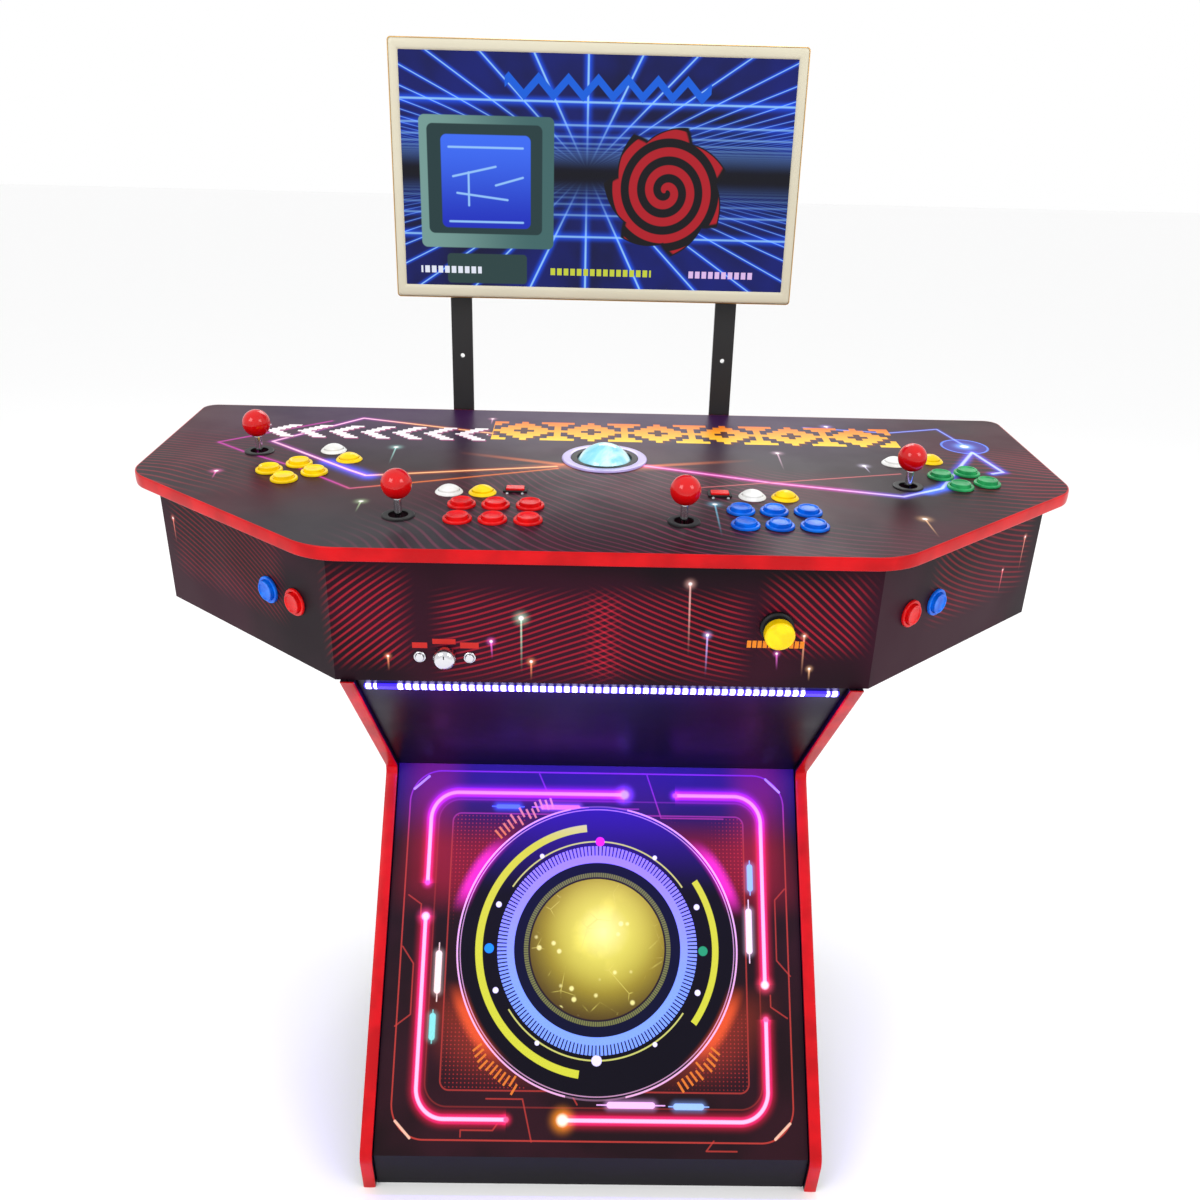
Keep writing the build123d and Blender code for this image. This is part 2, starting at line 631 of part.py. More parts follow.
# ---- electronics --------------------------------------------------------------------
shelf = -box_bottom + box_floor_thickness
game_board = block(180, 130, 8, 9.6)
for dx in (-80, 80):
    for ds in (-55, 55):
        game_board += Pos(dx, ds, 0) * rod(3.5, 0, 8)
for dx, ds, size, top in ((-20, 10, 36, 20), (45, 20, 18, 12), (45, -25, 14, 12), (-62, -15, 14, 22)):
    game_board += Pos(dx, ds, 0) * block(size, size, 9.6, top)
game_board = Pos(230, 330, shelf) * game_board
amplifier = Pos(-230, 330, shelf) * block(90, 60, 0, 28)
supply = Pos(140, 60, 0) * block(160, 98, bottom_thickness, bottom_thickness + 40)
rear_cover -= Pos(-150, cover_front, 90) * Box(48.4, 60, 28.4)
inlet = Pos(-150, cover_back + 1, 90) * Box(56, 2, 36) + Pos(-150, cover_front - 4, 90) * Box(
    48, 2 * cover_thickness + 8, 28)
inlet -= Pos(-150, cover_back, 90) * Box(24, 24, 18)

# ---- small screws beside the small buttons ------------------------------------------
small_screws = []
for place in small_buttons.values():
    for dx in (-9, 9):
        head = Pos(dx, -small_bezel[1] / 2 - 3.5, 0) * (Sphere(2.0) & block(5, 5, 0, 2.2))
        small_screws.append(at_panel(place) * head)

# ---- control housings ---------------------------------------------------------------
housings = []
for place, domed in panel_buttons.values():
    housings += [at_panel(place) * piece for piece in button_housing(domed)]
for place in flippers.values():
    housings += [place * piece for piece in button_housing(False)]
for place in small_buttons.values():
    housings.append(at_panel(place) * small_housing())
for player in PLAYERS.values():
    housings += [at_panel(player["at"], player["turn"]) * piece for piece in stick_housing()]
for place in menu_buttons.values():
    housings.append(at_front(place) * menu_housing())
housings.append(at_front(knob_at) * potentiometer())
housings.append(at_front(plunger_at) * plunger_sleeve())

# ---- write every node ---------------------------------------------------------------
os.makedirs("parts", exist_ok=True)


def set_on_deck(shapes):
    """Deck pieces set on the deck's slope."""
    return [deck.location * shape for shape in shapes]


save("control_panel", *set_on_deck([control_panel]))
save("edge_mouldings", *set_on_deck([panel_moulding]), *side_mouldings)
save("control_box", *set_on_deck(box_boards))
save("pedestal_carcass", *side_boards, toe_board, recess_board, bottom_board, rear_cover,
     *rear_cleats, *deck_cleats)
save("lower_front_panel", lower_front_panel)
save("light_strip", light_strip)
save("monitor_housing", bezel, rear_case)
save("monitor_screen", screen)
save("monitor_mount", mount_plate, *posts, *wedges)
save("control_housings", *set_on_deck(housings))
save("trackball_housing", *set_on_deck([at_panel(trackball_at) * piece for piece in trackball_housing()]))
save("electronics", *set_on_deck([game_board, amplifier]), supply, inlet)
save("fasteners", *post_bolts, *vesa_screws, *cover_screws, *set_on_deck(deck_bolts + small_screws))

for name, (place, domed) in panel_buttons.items():
    save(name, *set_on_deck([at_panel(place) * button_cap(domed)]))
for name, place in flippers.items():
    save(name, *set_on_deck([place * button_cap(False)]))
for name, place in small_buttons.items():
    save(name, *set_on_deck([at_panel(place) * small_cap_solid()]))
for key, player in PLAYERS.items():
    place = at_panel(player["at"], player["turn"])
    save(f"{key}_joystick", *set_on_deck([place * piece for piece in stick()]))
    save(f"{key}_joystick_pivot", *set_on_deck([place * stick_gimbal()]))
for word, place in menu_buttons.items():
    save(f"menu_button_{word}", *set_on_deck([at_front(place) * menu_cap()]))
save("volume_knob", *set_on_deck([at_front(knob_at) * volume_knob()]))
save("pull_plunger", *set_on_deck([at_front(plunger_at) * pull_plunger()]))
ball = Pos(0, 0, -ball_depth) * Sphere(ball_radius)
save("trackball", *set_on_deck([at_panel(trackball_at) * ball]))
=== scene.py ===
"""Four-player pedestal arcade cabinet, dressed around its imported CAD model.

Places and sizes are metres; grids, profiles and prints are worked out in mm.
"""
import bpy
import json
import math
import numpy as np
from mathutils import Matrix, Vector

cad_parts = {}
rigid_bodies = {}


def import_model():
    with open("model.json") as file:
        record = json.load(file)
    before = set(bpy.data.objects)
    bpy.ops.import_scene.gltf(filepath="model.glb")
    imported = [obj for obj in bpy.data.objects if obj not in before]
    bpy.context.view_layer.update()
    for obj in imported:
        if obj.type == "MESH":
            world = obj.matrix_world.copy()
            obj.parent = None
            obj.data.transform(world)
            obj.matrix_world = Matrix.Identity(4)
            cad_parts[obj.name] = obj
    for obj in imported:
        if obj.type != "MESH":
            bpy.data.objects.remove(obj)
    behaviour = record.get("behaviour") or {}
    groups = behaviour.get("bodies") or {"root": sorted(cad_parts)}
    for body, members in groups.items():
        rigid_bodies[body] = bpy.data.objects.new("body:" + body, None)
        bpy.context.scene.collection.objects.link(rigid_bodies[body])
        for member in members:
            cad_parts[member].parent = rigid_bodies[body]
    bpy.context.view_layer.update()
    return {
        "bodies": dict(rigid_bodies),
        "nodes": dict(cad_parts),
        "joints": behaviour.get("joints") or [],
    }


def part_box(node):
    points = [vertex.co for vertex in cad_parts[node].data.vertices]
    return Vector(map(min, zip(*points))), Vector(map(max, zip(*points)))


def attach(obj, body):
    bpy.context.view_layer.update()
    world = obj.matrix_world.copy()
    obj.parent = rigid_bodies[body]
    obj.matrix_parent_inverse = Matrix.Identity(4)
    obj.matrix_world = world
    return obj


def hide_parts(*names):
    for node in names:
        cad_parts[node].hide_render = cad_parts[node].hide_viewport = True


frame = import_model()
MM = 0.001

# ==== Viewpoint, floor and light ======================================================
# The cabinet is seen from a little above the players' heads, in a white room with a
# pale floor and two broad soft lamps in front of it.
camera = bpy.data.objects.new("camera", bpy.data.cameras.new("camera"))
bpy.context.collection.objects.link(camera)
yaw, pitch, roll = (math.radians(a) for a in (0.949, 21.893, 1.428))
forward = Vector((math.sin(yaw) * math.cos(pitch), math.cos(yaw) * math.cos(pitch), -math.sin(pitch)))
level = Vector((math.cos(yaw), -math.sin(yaw), 0))
above = level.cross(forward)
right = level * math.cos(roll) + above * math.sin(roll)
above = above * math.cos(roll) - level * math.sin(roll)
camera_place = (-0.0243, -1.3065, 1.2663)
turn = Matrix((right, above, -forward)).transposed().to_4x4()
camera.matrix_world = Matrix.Translation(camera_place) @ turn
camera.data.lens, camera.data.sensor_width = 32.826, 36.0
bpy.context.scene.camera = camera
bpy.context.scene.view_settings.view_transform = "Standard"


def lamp(name, place, aim, size, power, tint=(1, 1, 1)):
    """Square soft lamp at a place, facing the aim point."""
    made = bpy.data.objects.new(name, bpy.data.lights.new(name, "AREA"))
    bpy.context.collection.objects.link(made)
    made.data.size, made.data.energy, made.data.color = size, power, tint
    facing = (Vector(aim) - Vector(place)).to_track_quat("-Z", "Y").to_matrix().to_4x4()
    made.matrix_world = Matrix.Translation(place) @ facing
    return made


lamp("lamp_left", (-2.2, -2.4, 3.0), (0, 0, 0.8), 1.6, 42)
lamp("lamp_right", (2.4, -2.0, 2.8), (0, 0, 0.8), 1.4, 30)
lamp("lamp_back", (0.3, 2.6, 2.9), (0, 0, 0.9), 1.6, 30)
world = bpy.data.worlds.new("white_room")
bpy.context.scene.world = world
world.use_nodes = True
world.node_tree.nodes["Background"].inputs[0].default_value = (1, 1, 1, 1)
world.node_tree.nodes["Background"].inputs[1].default_value = 1.0


# ==== Making shapes ===================================================================
# Every new piece is a set of grids of points worked out as whole arrays, welded into
# one mesh that sits at the origin with its place in its points.
WELD_GAP = 2e-6


def weld(grids):
    """Points and faces of several grids, with points that coincide made one.

    A grid is an array of rows x columns x 3; each cell of it is one face, and a cell
    that has lost a side to a pole is a triangle.
    """
    points, quads, start = [], [], 0
    for grid in grids:
        rows, columns = grid.shape[:2]
        index = start + np.arange(rows * columns).reshape(rows, columns)
        corners = [index[:-1, :-1], index[:-1, 1:], index[1:, 1:], index[1:, :-1]]
        quads.append(np.stack(corners, -1).reshape(-1, 4))
        points.append(grid.reshape(-1, 3))
        start += rows * columns
    points = np.concatenate(points)
    keys = np.round(points / WELD_GAP).astype(np.int64)
    _, first, same = np.unique(keys, axis=0, return_index=True, return_inverse=True)
    quads = same.reshape(-1)[np.concatenate(quads)]
    faces = [tuple(dict.fromkeys(face)) for face in quads.tolist()]
    return points[first], [face for face in faces if len(face) > 2]


def piece(name, body, finish, grids, replaces=(), sharp=32):
    """Object of welded grids that rides on a body, with one finish and its CAD nodes hidden."""
    points, faces = weld(grids)
    mesh = bpy.data.meshes.new(name)
    mesh.from_pydata(points.tolist(), [], faces)
    mesh.polygons.foreach_set("use_smooth", [True] * len(mesh.polygons))
    mesh.set_sharp_from_angle(angle=math.radians(sharp))
    mesh.materials.append(finish.material)
    made = bpy.data.objects.new(name, mesh)
    bpy.context.collection.objects.link(made)
    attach(made, body)
    if replaces:
        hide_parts(*replaces)
    return made


def placed(grid, place):
    """Grid in mm carried to a place, a 4 x 4 matrix in metres."""
    place = np.array(place)
    return (grid * MM) @ place[:3, :3].T + place[:3, 3]


def turned(profile, sides=48, ripple=None):
    """Surface of revolution about z: each (radius, height) of the profile swept round a circle.

    ripple(angle) multiplies the radius, for flutes and flats. The last column is the first again.
    """
    profile = np.array(profile, float)
    angle = np.linspace(0, 2 * np.pi, sides + 1)
    angle[-1] = 0
    swell = np.ones_like(angle) if ripple is None else ripple(angle)
    radius = profile[:, :1] * swell[None, :]
    height = np.repeat(profile[:, 1:], sides + 1, axis=1)
    return np.stack([radius * np.sin(angle), radius * np.cos(angle), height], -1)


def rounded(profile, radius, steps=4):
    """Profile with each inner corner replaced by a curve that starts a radius before it.

    A corner p between a and b becomes the quadratic curve (1-t)^2 a' + 2t(1-t) p + t^2 b',
    where a' and b' lie that radius from p, or 0.45 of the way to a short side's far end.
    """
    points = [np.array(p, float) for p in profile]
    made = [points[0]]
    for before, corner, after in zip(points, points[1:], points[2:]):
        into, out = before - corner, after - corner
        run_in, run_out = np.hypot(*into), np.hypot(*out)
        reach = min(radius, 0.45 * run_in, 0.45 * run_out)
        start, end = corner + into / run_in * reach, corner + out / run_out * reach
        for t in np.linspace(0, 1, steps + 1):
            made.append((1 - t) ** 2 * start + 2 * t * (1 - t) * corner + t * t * end)
    return np.array(made + [points[-1]])


def brick(size, low, high, round_mm=0.6, centre=(0, 0)):
    """Box with rounded upright edges: its outline is carried from low to high and closed at both."""
    half_x, half_y = size[0] / 2, size[1] / 2
    corners = [(half_x, 0), (half_x, half_y), (-half_x, half_y), (-half_x, -half_y),
               (half_x, -half_y), (half_x, 0)]
    ring = rounded(corners, round_mm, 3)
    rows = [(0, low), (1, low), (1, high), (0, high)]
    grid = [[(centre[0] + k * x, centre[1] + k * y, z) for x, y in ring] for k, z in rows]
    return np.array(grid, float)


def sleeve(rows):
    """Outlines of rounded rectangles, each from its width, depth, height and corner radius."""
    return [brick((size_x, size_y), z, z, corner)[1] for size_x, size_y, z, corner in rows]


# ==== Making finishes =================================================================
# A finish is one procedural material. Arithmetic on its values adds Math nodes.
def ink(red, green, blue):
    """Colour of three 0-255 values as the render's linear light."""
    return tuple(round(((v / 255 + 0.055) / 1.055) ** 2.4 if v > 10 else v / 255 / 12.92, 5)
                 for v in (red, green, blue)) + (1.0,)


class Value:
    """A number, place or colour inside a finish; arithmetic on a number adds Math nodes."""

    def __init__(self, finish, socket):
        self.finish, self.socket = finish, socket

    def math(self, operation, *others):
        return self.finish.node("ShaderNodeMath", {"operation": operation}, [self, *others])

    def __rsub__(self, other):
        return self.finish.number(other).math("SUBTRACT", self)

    def __rtruediv__(self, other):
        return self.finish.number(other).math("DIVIDE", self)

    def fade(self, one, zero, smooth=True):
        """1 at `one` and 0 at `zero`; a smooth step holds those beyond them, a straight one runs on."""
        kind = "SMOOTHSTEP" if smooth else "LINEAR"
        return self.finish.node("ShaderNodeMapRange", {"interpolation_type": kind, "clamp": False},
                                [self, zero, one, 0.0, 1.0])

    def band(self, centre, half, soft):
        """1 within half of the centre, fading out over soft."""
        return (self - centre).size().fade(half, half + soft)


def math_method(operation):
    """Method of Value that adds one Math node."""
    return lambda self, *others: self.math(operation, *others)


for word, operation in {
        "__add__": "ADD", "__radd__": "ADD", "__sub__": "SUBTRACT", "__mul__": "MULTIPLY",
        "__rmul__": "MULTIPLY", "__truediv__": "DIVIDE", "__pow__": "POWER",
        "__gt__": "GREATER_THAN", "__lt__": "LESS_THAN", "size": "ABSOLUTE", "floor": "FLOOR",
        "part": "FRACT", "least": "MINIMUM", "most": "MAXIMUM"}.items():
    setattr(Value, word, math_method(operation))


class Finish:
    """One procedural material, ending in a Principled shader."""

    def __init__(self, name, **settings):
        self.material = bpy.data.materials.new(name)
        self.material.use_nodes = True
        self.tree = self.material.node_tree
        self.shader = self.tree.nodes["Principled BSDF"]
        self.set(**settings)

    def node(self, kind, settings=None, values=(), out=0, named=None):
        """Node of a kind: its settings are made, then its sockets filled in order and by name."""
        made = self.tree.nodes.new(kind)
        for key, value in (settings or {}).items():
            setattr(made, key, value)
        filled = list(zip(made.inputs, values))
        filled += [(made.inputs[key], value) for key, value in (named or {}).items()]
        for socket, value in filled:
            self.fill(socket, value)
        return Value(self, made.outputs[out])

    def fill(self, socket, value):
        if isinstance(value, Value):
            self.tree.links.new(value.socket, socket)
        elif value is not None:
            socket.default_value = value

    def set(self, **settings):
        """Fill the shader's own sockets, named in lower case."""
        for key, value in settings.items():
            self.fill(self.shader.inputs[key.replace("_", " ").title().replace("Ior", "IOR")], value)

    def number(self, value):
        return self.node("ShaderNodeMath", {"operation": "ADD"}, [value, 0.0])

    def object_place(self, scale=1000.0, turn=(0, 0, 0), shift=(0, 0, 0)):
        """Object coordinates, scaled to mm, turned and shifted."""
        where = self.node("ShaderNodeTexCoord", out=3)
        return self.node("ShaderNodeMapping", {}, [where, shift, turn, (scale,) * 3])

    def split(self, vector):
        """The three numbers of a vector."""
        made = self.node("ShaderNodeSeparateXYZ", {}, [vector])
        return [Value(self, s) for s in made.socket.node.outputs]

    def join(self, x, y, z=0.0):
        return self.node("ShaderNodeCombineXYZ", {}, [x, y, z])

    def vector(self, operation, *values, out=0, **named):
        return self.node("ShaderNodeVectorMath", {"operation": operation}, values, out, named)

    def to_point(self, place, point):
        """Distance to a point."""
        return self.vector("DISTANCE", place, (*point, 0.0), out=1)

    def to_line(self, place, start, end):
        """Distance to the straight line between two points, by the clamped share of its run."""
        run = np.subtract(end, start)
        share = run / (run @ run)
        offset = self.vector("SUBTRACT", place, (*start, 0.0))
        along = self.vector("DOT_PRODUCT", offset, (*share, 0.0), out=1).most(0.0).least(1.0)
        foot = self.vector("SCALE", tuple(run) + (0.0,), Scale=along)
        return self.vector("DISTANCE", offset, foot, out=1)

    def to_path(self, place, points):
        """Distance to a chain of straight lines."""
        nearest = None
        for start, end in zip(points, points[1:]):
            gap = self.to_line(place, start, end)
            nearest = gap if nearest is None else nearest.least(gap)
        return nearest

    def noise(self, place, scale, detail=2.0, **named):
        named = {"Vector": place, "Scale": scale, "Detail": detail, **named}
        return self.node("ShaderNodeTexNoise", named=named)

    def cells(self, place, scale, feature="F1"):
        """Distance to the nearest of scattered points, or to the edge between two of them."""
        named = {"Vector": place, "Scale": scale}
        return self.node("ShaderNodeTexVoronoi", {"feature": feature}, named=named)

    def mix(self, mask, under, over, blend="MIX"):
        """Two colours mixed by a mask."""
        made = self.tree.nodes.new("ShaderNodeMix")
        made.data_type, made.blend_type = "RGBA", blend
        for index, value in ((0, mask), (6, under), (7, over)):
            self.fill(made.inputs[index], value)
        return Value(self, made.outputs[2])

    def ramp(self, value, *stops):
        """Colour that follows a value through (position, colour) stops."""
        made = self.tree.nodes.new("ShaderNodeValToRGB")
        elements = made.color_ramp.elements
        while len(elements) < len(stops):
            elements.new(0.5)
        for element, (position, colour) in zip(elements, stops):
            element.position, element.color = position, colour
        self.fill(made.inputs[0], value)
        return Value(self, made.outputs[0])

    def bump(self, height, strength, distance=0.0004):
        """Small relief on the surface."""
        named = {"Strength": strength, "Distance": distance, "Height": height}
        self.set(normal=self.node("ShaderNodeBump", named=named))


class Print:
    """Colour of a printed sheet, built up from a ground by adding light or covering with ink."""

    def __init__(self, finish, ground):
        self.finish, self.colour = finish, ground

    def glow(self, mask, colour):
        self.colour = self.finish.mix(mask, self.colour, colour, "ADD")

    def cover(self, mask, colour):
        self.colour = self.finish.mix(mask, self.colour, colour)

    def neon(self, gap, half, spread, core, halo, strength=1.0):
        """A glowing line: a wide halo that falls off as the square, and a bright core."""
        self.glow((gap.fade(0.0, spread) ** 2.0) * strength, halo)
        self.cover(gap.fade(half * 0.3, half * 1.6) * strength, core)

    def sparks(self, place, stars):
        """Stars, each its middle, the end of its thin fading tail, its size and its ink."""
        finish = self.finish
        for at, tail, size, tint in stars:
            far = finish.to_point(place, at)
            self.glow((far.fade(0.0, size * 2.2) ** 3.0) * 0.55, ink(*tint))
            trail = finish.to_line(place, at, tail).fade(0.2, 1.6) * far.fade(0.0, math.dist(at, tail))
            self.glow(trail * 0.7, ink(*tint))
            self.cover(far.fade(size * 0.15, size * 0.5), (1, 0.95, 0.92, 1))


def dress(node, finish):
    """Give a CAD node its finish."""
    slots = frame["nodes"][node].data.materials
    slots.clear()
    slots.append(finish.material)


def mottled(name, deep, light, drift, relief=None, soft=False, **settings):
    """Finish whose colour drifts between two inks.

    drift is a noise's scale and detail; relief is the same for a bump, and its strength.
    """
    finish = Finish(name, **settings)
    place = finish.object_place()
    mask = finish.noise(place, *drift)
    finish.set(base_color=finish.mix(mask.fade(0.65, 0.35) if soft else mask, deep, light))
    if relief:
        scale, detail, *depth = relief
        finish.bump(finish.noise(place, scale, detail), *depth)
    return finish


floor_finish = Finish("floor_paint", roughness=0.7)
grain = floor_finish.noise(floor_finish.object_place(1.0), 6.0, 4.0) * 0.3
floor_finish.set(base_color=floor_finish.mix(grain, (0.96, 0.96, 0.96, 1), (0.94, 0.94, 0.945, 1)))
floor_mesh = bpy.data.meshes.new("floor")
floor_mesh.from_pydata([(-40, -40, 0), (40, -40, 0), (40, 40, 0), (-40, 40, 0)], [], [(0, 1, 2, 3)])
floor_mesh.materials.append(floor_finish.material)
floor = bpy.data.objects.new("floor", floor_mesh)
bpy.context.collection.objects.link(floor)

# ==== Control panel ===================================================================
# The deck's top board: printed laminate on fibreboard, satin, with light trails that
# meet at the trackball, sparks, a band of pixel blocks along the back, and a painted
# reflection, a grey patch at the front left.
slope = math.radians(4.0)
deck_origin = Vector((0, -0.2175, 0.882))
deck = Matrix.Translation(deck_origin) @ Matrix.Rotation(slope, 4, "X")
deck_shift = tuple(-(Matrix.Rotation(-slope, 3, "X") @ deck_origin) * 1000)
CHARCOAL, MAROON, VIOLET = ink(36, 20, 28), ink(62, 18, 32), ink(52, 20, 64)


def deck_print(name, **settings):
    """Finish with its place in deck millimetres: across, back from the front edge, and up."""
    finish = Finish(name, **settings)
    return finish, finish.object_place(1000.0, (-slope, 0, 0), deck_shift)


def laminate(finish, place, roughness=0.34, relief=0.05):
    """Satin laminate: fine pebble relief and a slow change of gloss."""
    fine = finish.noise(place, 0.9, 2.0)
    finish.bump(fine, relief)
    slow = finish.noise(place, 0.012, 3.0)
    finish.set(roughness=slow.fade(0.7, 0.3) * 0.08 + roughness, specular_ior_level=0.08)


def ripples(finish, place, push, centre, pitch, half=0.16):
    """Thin lines round a far centre, one to each pitch, pushed about by a slow noise in mm."""
    far = finish.to_point(place, centre)
    phase = ((far + push) / pitch).part()
    return phase.band(0.5, half * 0.3, half)


panel, spot = deck_print("panel_print")
across, back, up = panel.split(spot)
flat = panel.join(across, back)
haze, sway = panel.noise(spot, 0.004, 3.0), panel.noise(spot, 0.0045, 1.0)
art = Print(panel, panel.mix(haze.fade(0.62, 0.4), CHARCOAL, MAROON))
art.cover(back.fade(520, 240) * across.band(-60, 260, 330), VIOLET)
# painted reflection: a grey patch at the front left stands in for the sheen of the room on the satin laminate
art.cover(across.band(-250, 90, 120) * back.fade(60, 190), ink(48, 42, 48))
lines = ripples(panel, flat, sway * 120, (-760, -420), 12.5)
art.glow(lines * across.fade(-600, -350) * back.fade(200, 130) * back.fade(300, 430) * 0.8, ink(120, 24, 34))
lines = ripples(panel, flat, sway * 90, (560, 760), 12.0)
zone = (across - back * 0.55).band(-80, 110, 170) * back.fade(250, 285)
art.glow(lines * zone * 0.75, ink(92, 26, 52))
art.glow(lines * across.fade(600, 380) * back.fade(330, 410) * 0.8, ink(140, 22, 38))
wedge = (across - 200).band(0, 90, 120) * (back - 30).band(0, 36, 40)
art.glow(lines * wedge * 0.4, ink(110, 26, 56))

ORANGE, MAGENTA = ink(240, 120, 40), ink(200, 50, 170)
left_trail = [(-155, 411), (-344, 470), (-444, 355), (-320, 246), (-296, 227), (-62, 276)]
left_low = [(-386, 453), (-514, 347), (-470, 310), (-382, 248), (-307, 180), (-217, 211), (-60, 268)]
right_trail = [(47, 287), (208, 230), (363, 190), (419, 222), (503, 370), (518, 289), (502, 282)]
right_low = [(114, 207), (380, 274)]
right_top = [(290, 469), (406, 451), (484, 475), (500, 405)]
warm = across.fade(-250, -350)
gap = panel.to_path(flat, left_low)
halo = panel.mix(warm, ink(110, 20, 90), ink(120, 50, 10))
art.neon(gap, 1.6, 9, panel.mix(warm, MAGENTA, ORANGE), halo, 0.8)
gap = panel.to_path(flat, left_trail)
art.neon(gap, 2.0, 12, panel.mix(warm, ink(255, 190, 225), ink(255, 190, 130)),
         panel.mix(warm, ink(140, 40, 150), ink(160, 70, 20)))
art.glow((panel.to_line(flat, (-352, 275), (-292, 224)).fade(0, 26) ** 2.0) * 0.9, ink(40, 90, 255))
cool = across.fade(400, 250)
gap = panel.to_path(flat, right_trail)
art.neon(gap, 2.2, 15, panel.mix(cool, ink(255, 150, 220), ink(190, 200, 255)),
         panel.mix(cool, ink(190, 40, 150), ink(60, 80, 220)))
art.neon(panel.to_path(flat, right_low), 1.2, 6, ink(220, 110, 110), ink(110, 40, 50), 0.7)
art.neon(panel.to_path(flat, right_top), 1.4, 8, ink(150, 170, 255), ink(50, 60, 190), 0.8)
art.glow((panel.to_line(flat, (398, 208), (430, 230)).fade(0, 22) ** 2.0) * 0.9, ink(50, 110, 255))
for end, reach in (((-185, 322), 150), ((195, 316), 150)):
    far = panel.to_point(flat, (0, 290))
    gap = panel.to_line(flat, (math.copysign(55, end[0]), 284), end)
    art.glow(gap.fade(0, 8) * far.fade(50, reach + 60) * 0.75, ink(230, 120, 50))
art.glow((across.size() / 16 + (back - 278).size() / 3.2).fade(0, 9) * 0.5, ink(255, 140, 90))

# glow disc behind player four
disc_gap = panel.to_point(flat, (500, 395))
art.glow(disc_gap.fade(31, 34) * 0.55, ink(20, 70, 190))
art.glow(disc_gap.band(31, 0.6, 1.6) * 0.6, ink(90, 150, 255))
art.glow(disc_gap.fade(0, 26) ** 2.0, ink(120, 180, 255))
art.cover(disc_gap.fade(3, 8), (1, 1, 1, 1))
art.sparks(flat, (
    ((-277, 341), (-275, 267), 9, (170, 230, 220)), ((-285, 138), (-285, 100), 8, (190, 220, 170)),
    ((-482, 233), (-478, 201), 8, (255, 120, 200)), ((-160, 480), (-160, 449), 6, (240, 170, 200)),
    ((233, 349), (231, 274), 8, (230, 190, 210)), ((340, 303), (342, 272), 8, (235, 225, 255)),
    ((129, 151), (127, 46), 9, (110, 200, 230)), ((369, 117), (370, 58), 9, (240, 190, 140)),
    ((323, 476), (325, 437), 9, (190, 160, 255)), ((90, 440), (92, 400), 5, (200, 140, 255))))
# pixel-block border along the back: chevrons, then larger gold stepped diamonds, each shaded
def pixels(left, low, pixel, cell):
    """Whole-pixel place inside a repeated square cell: column and row."""
    column = ((across - left) / pixel).floor()
    row = ((back - low) / pixel).floor()
    return column - (column / cell).floor() * cell, row


def inside(value, low, high):
    return (value > low) * (value < high)


def chevrons(left, low, first, last):
    """Mask of the row of chevrons from first to last mm across."""
    column, row = pixels(left, low, 6.2, 7)
    return inside(column - (row - 4).size(), -0.5, 2.5) * inside(row, -0.5, 8.5) * inside(across, first, last)


white = chevrons(-466, 377, -467, -160)
art.cover(chevrons(-464, 373, -465, -156), ink(150, 60, 110))
art.cover(white, ink(236, 228, 232))
column, row = pixels(-154, 384, 9.4, 10)
rim = (column - 4).size() + (row - 4).size()
gold_zone = inside(row, -0.5, 8.5) * inside(across, -155, 409)
diamond = inside(rim, -0.5, 4.5) * gold_zone
bars = (column > 8.5) * inside(row, 1.5, 6.5) * gold_zone * inside(across, -155, 392)
gold = panel.ramp(back.fade(384, 470, False), (0.0, ink(226, 108, 24)), (0.35, ink(240, 150, 26)),
                  (1.0, ink(250, 206, 40)))
shade_column, shade_row = pixels(-151, 380, 9.4, 10)
shade_rim = (shade_column - 4).size() + (shade_row - 4).size()
shade = inside(shade_rim, -0.5, 4.5) * inside(shade_row, -0.5, 8.5) * inside(across, -152, 412)
art.cover(shade, ink(96, 34, 20))
for mask in (diamond, (rim > 6.5) * gold_zone, bars):
    art.cover(mask, gold)
art.cover(inside(rim, -0.5, 1.5) * gold_zone, ink(70, 22, 26))
panel.set(base_color=art.colour)
laminate(panel, spot, 0.30)
dress("control_panel", panel)


# ==== Control box =====================================================================
# Six mitred boards under the panel, with the same printed laminate: fans of thin red
# waves, and sparks with hanging tails. Plain blocks mark the small controls. The sheet
# is unrolled: `along` runs across the front board and on up the two slanted wings.
box_finish, spot = deck_print("box_print")
across, back, up = box_finish.split(spot)
FRONT_HALF, WING_FOOT = 302.9, 28
WING_RUN = (0.7696, 0.6385)
side = across.size() - FRONT_HALF
wing = (side * WING_RUN[0] + (back - WING_FOOT) * WING_RUN[1]).most(0.0)
along = across.math("SIGN") * (across.size().least(FRONT_HALF) + wing)
depth = up * -1.0
sheet = box_finish.join(along, depth)
haze, sway = box_finish.noise(spot, 0.005, 2.0), box_finish.noise(spot, 0.0045, 1.0)
art = Print(box_finish, box_finish.mix(haze.fade(0.62, 0.42), ink(26, 12, 20), ink(48, 14, 30)))
for centre, x_mid, x_half, depth_mid, depth_half, strength in (
        ((122, 556), -266, 22, 96, 40, 0.9), ((-295, -454), -86, 78, 116, 34, 0.75),
        ((295, -454), 70, 66, 112, 34, 0.75), ((-154, 545), 236, 34, 84, 28, 0.85),
        ((-700, 520), -500, 90, 74, 40, 0.35), ((720, -380), 510, 80, 70, 40, 0.4)):
    lines = ripples(box_finish, sheet, sway * 30, centre, 7.0, 0.2)
    zone = along.band(x_mid, x_half, 36) * depth.band(depth_mid, depth_half, 30)
    art.glow(lines * zone * strength, ink(156, 22, 34))
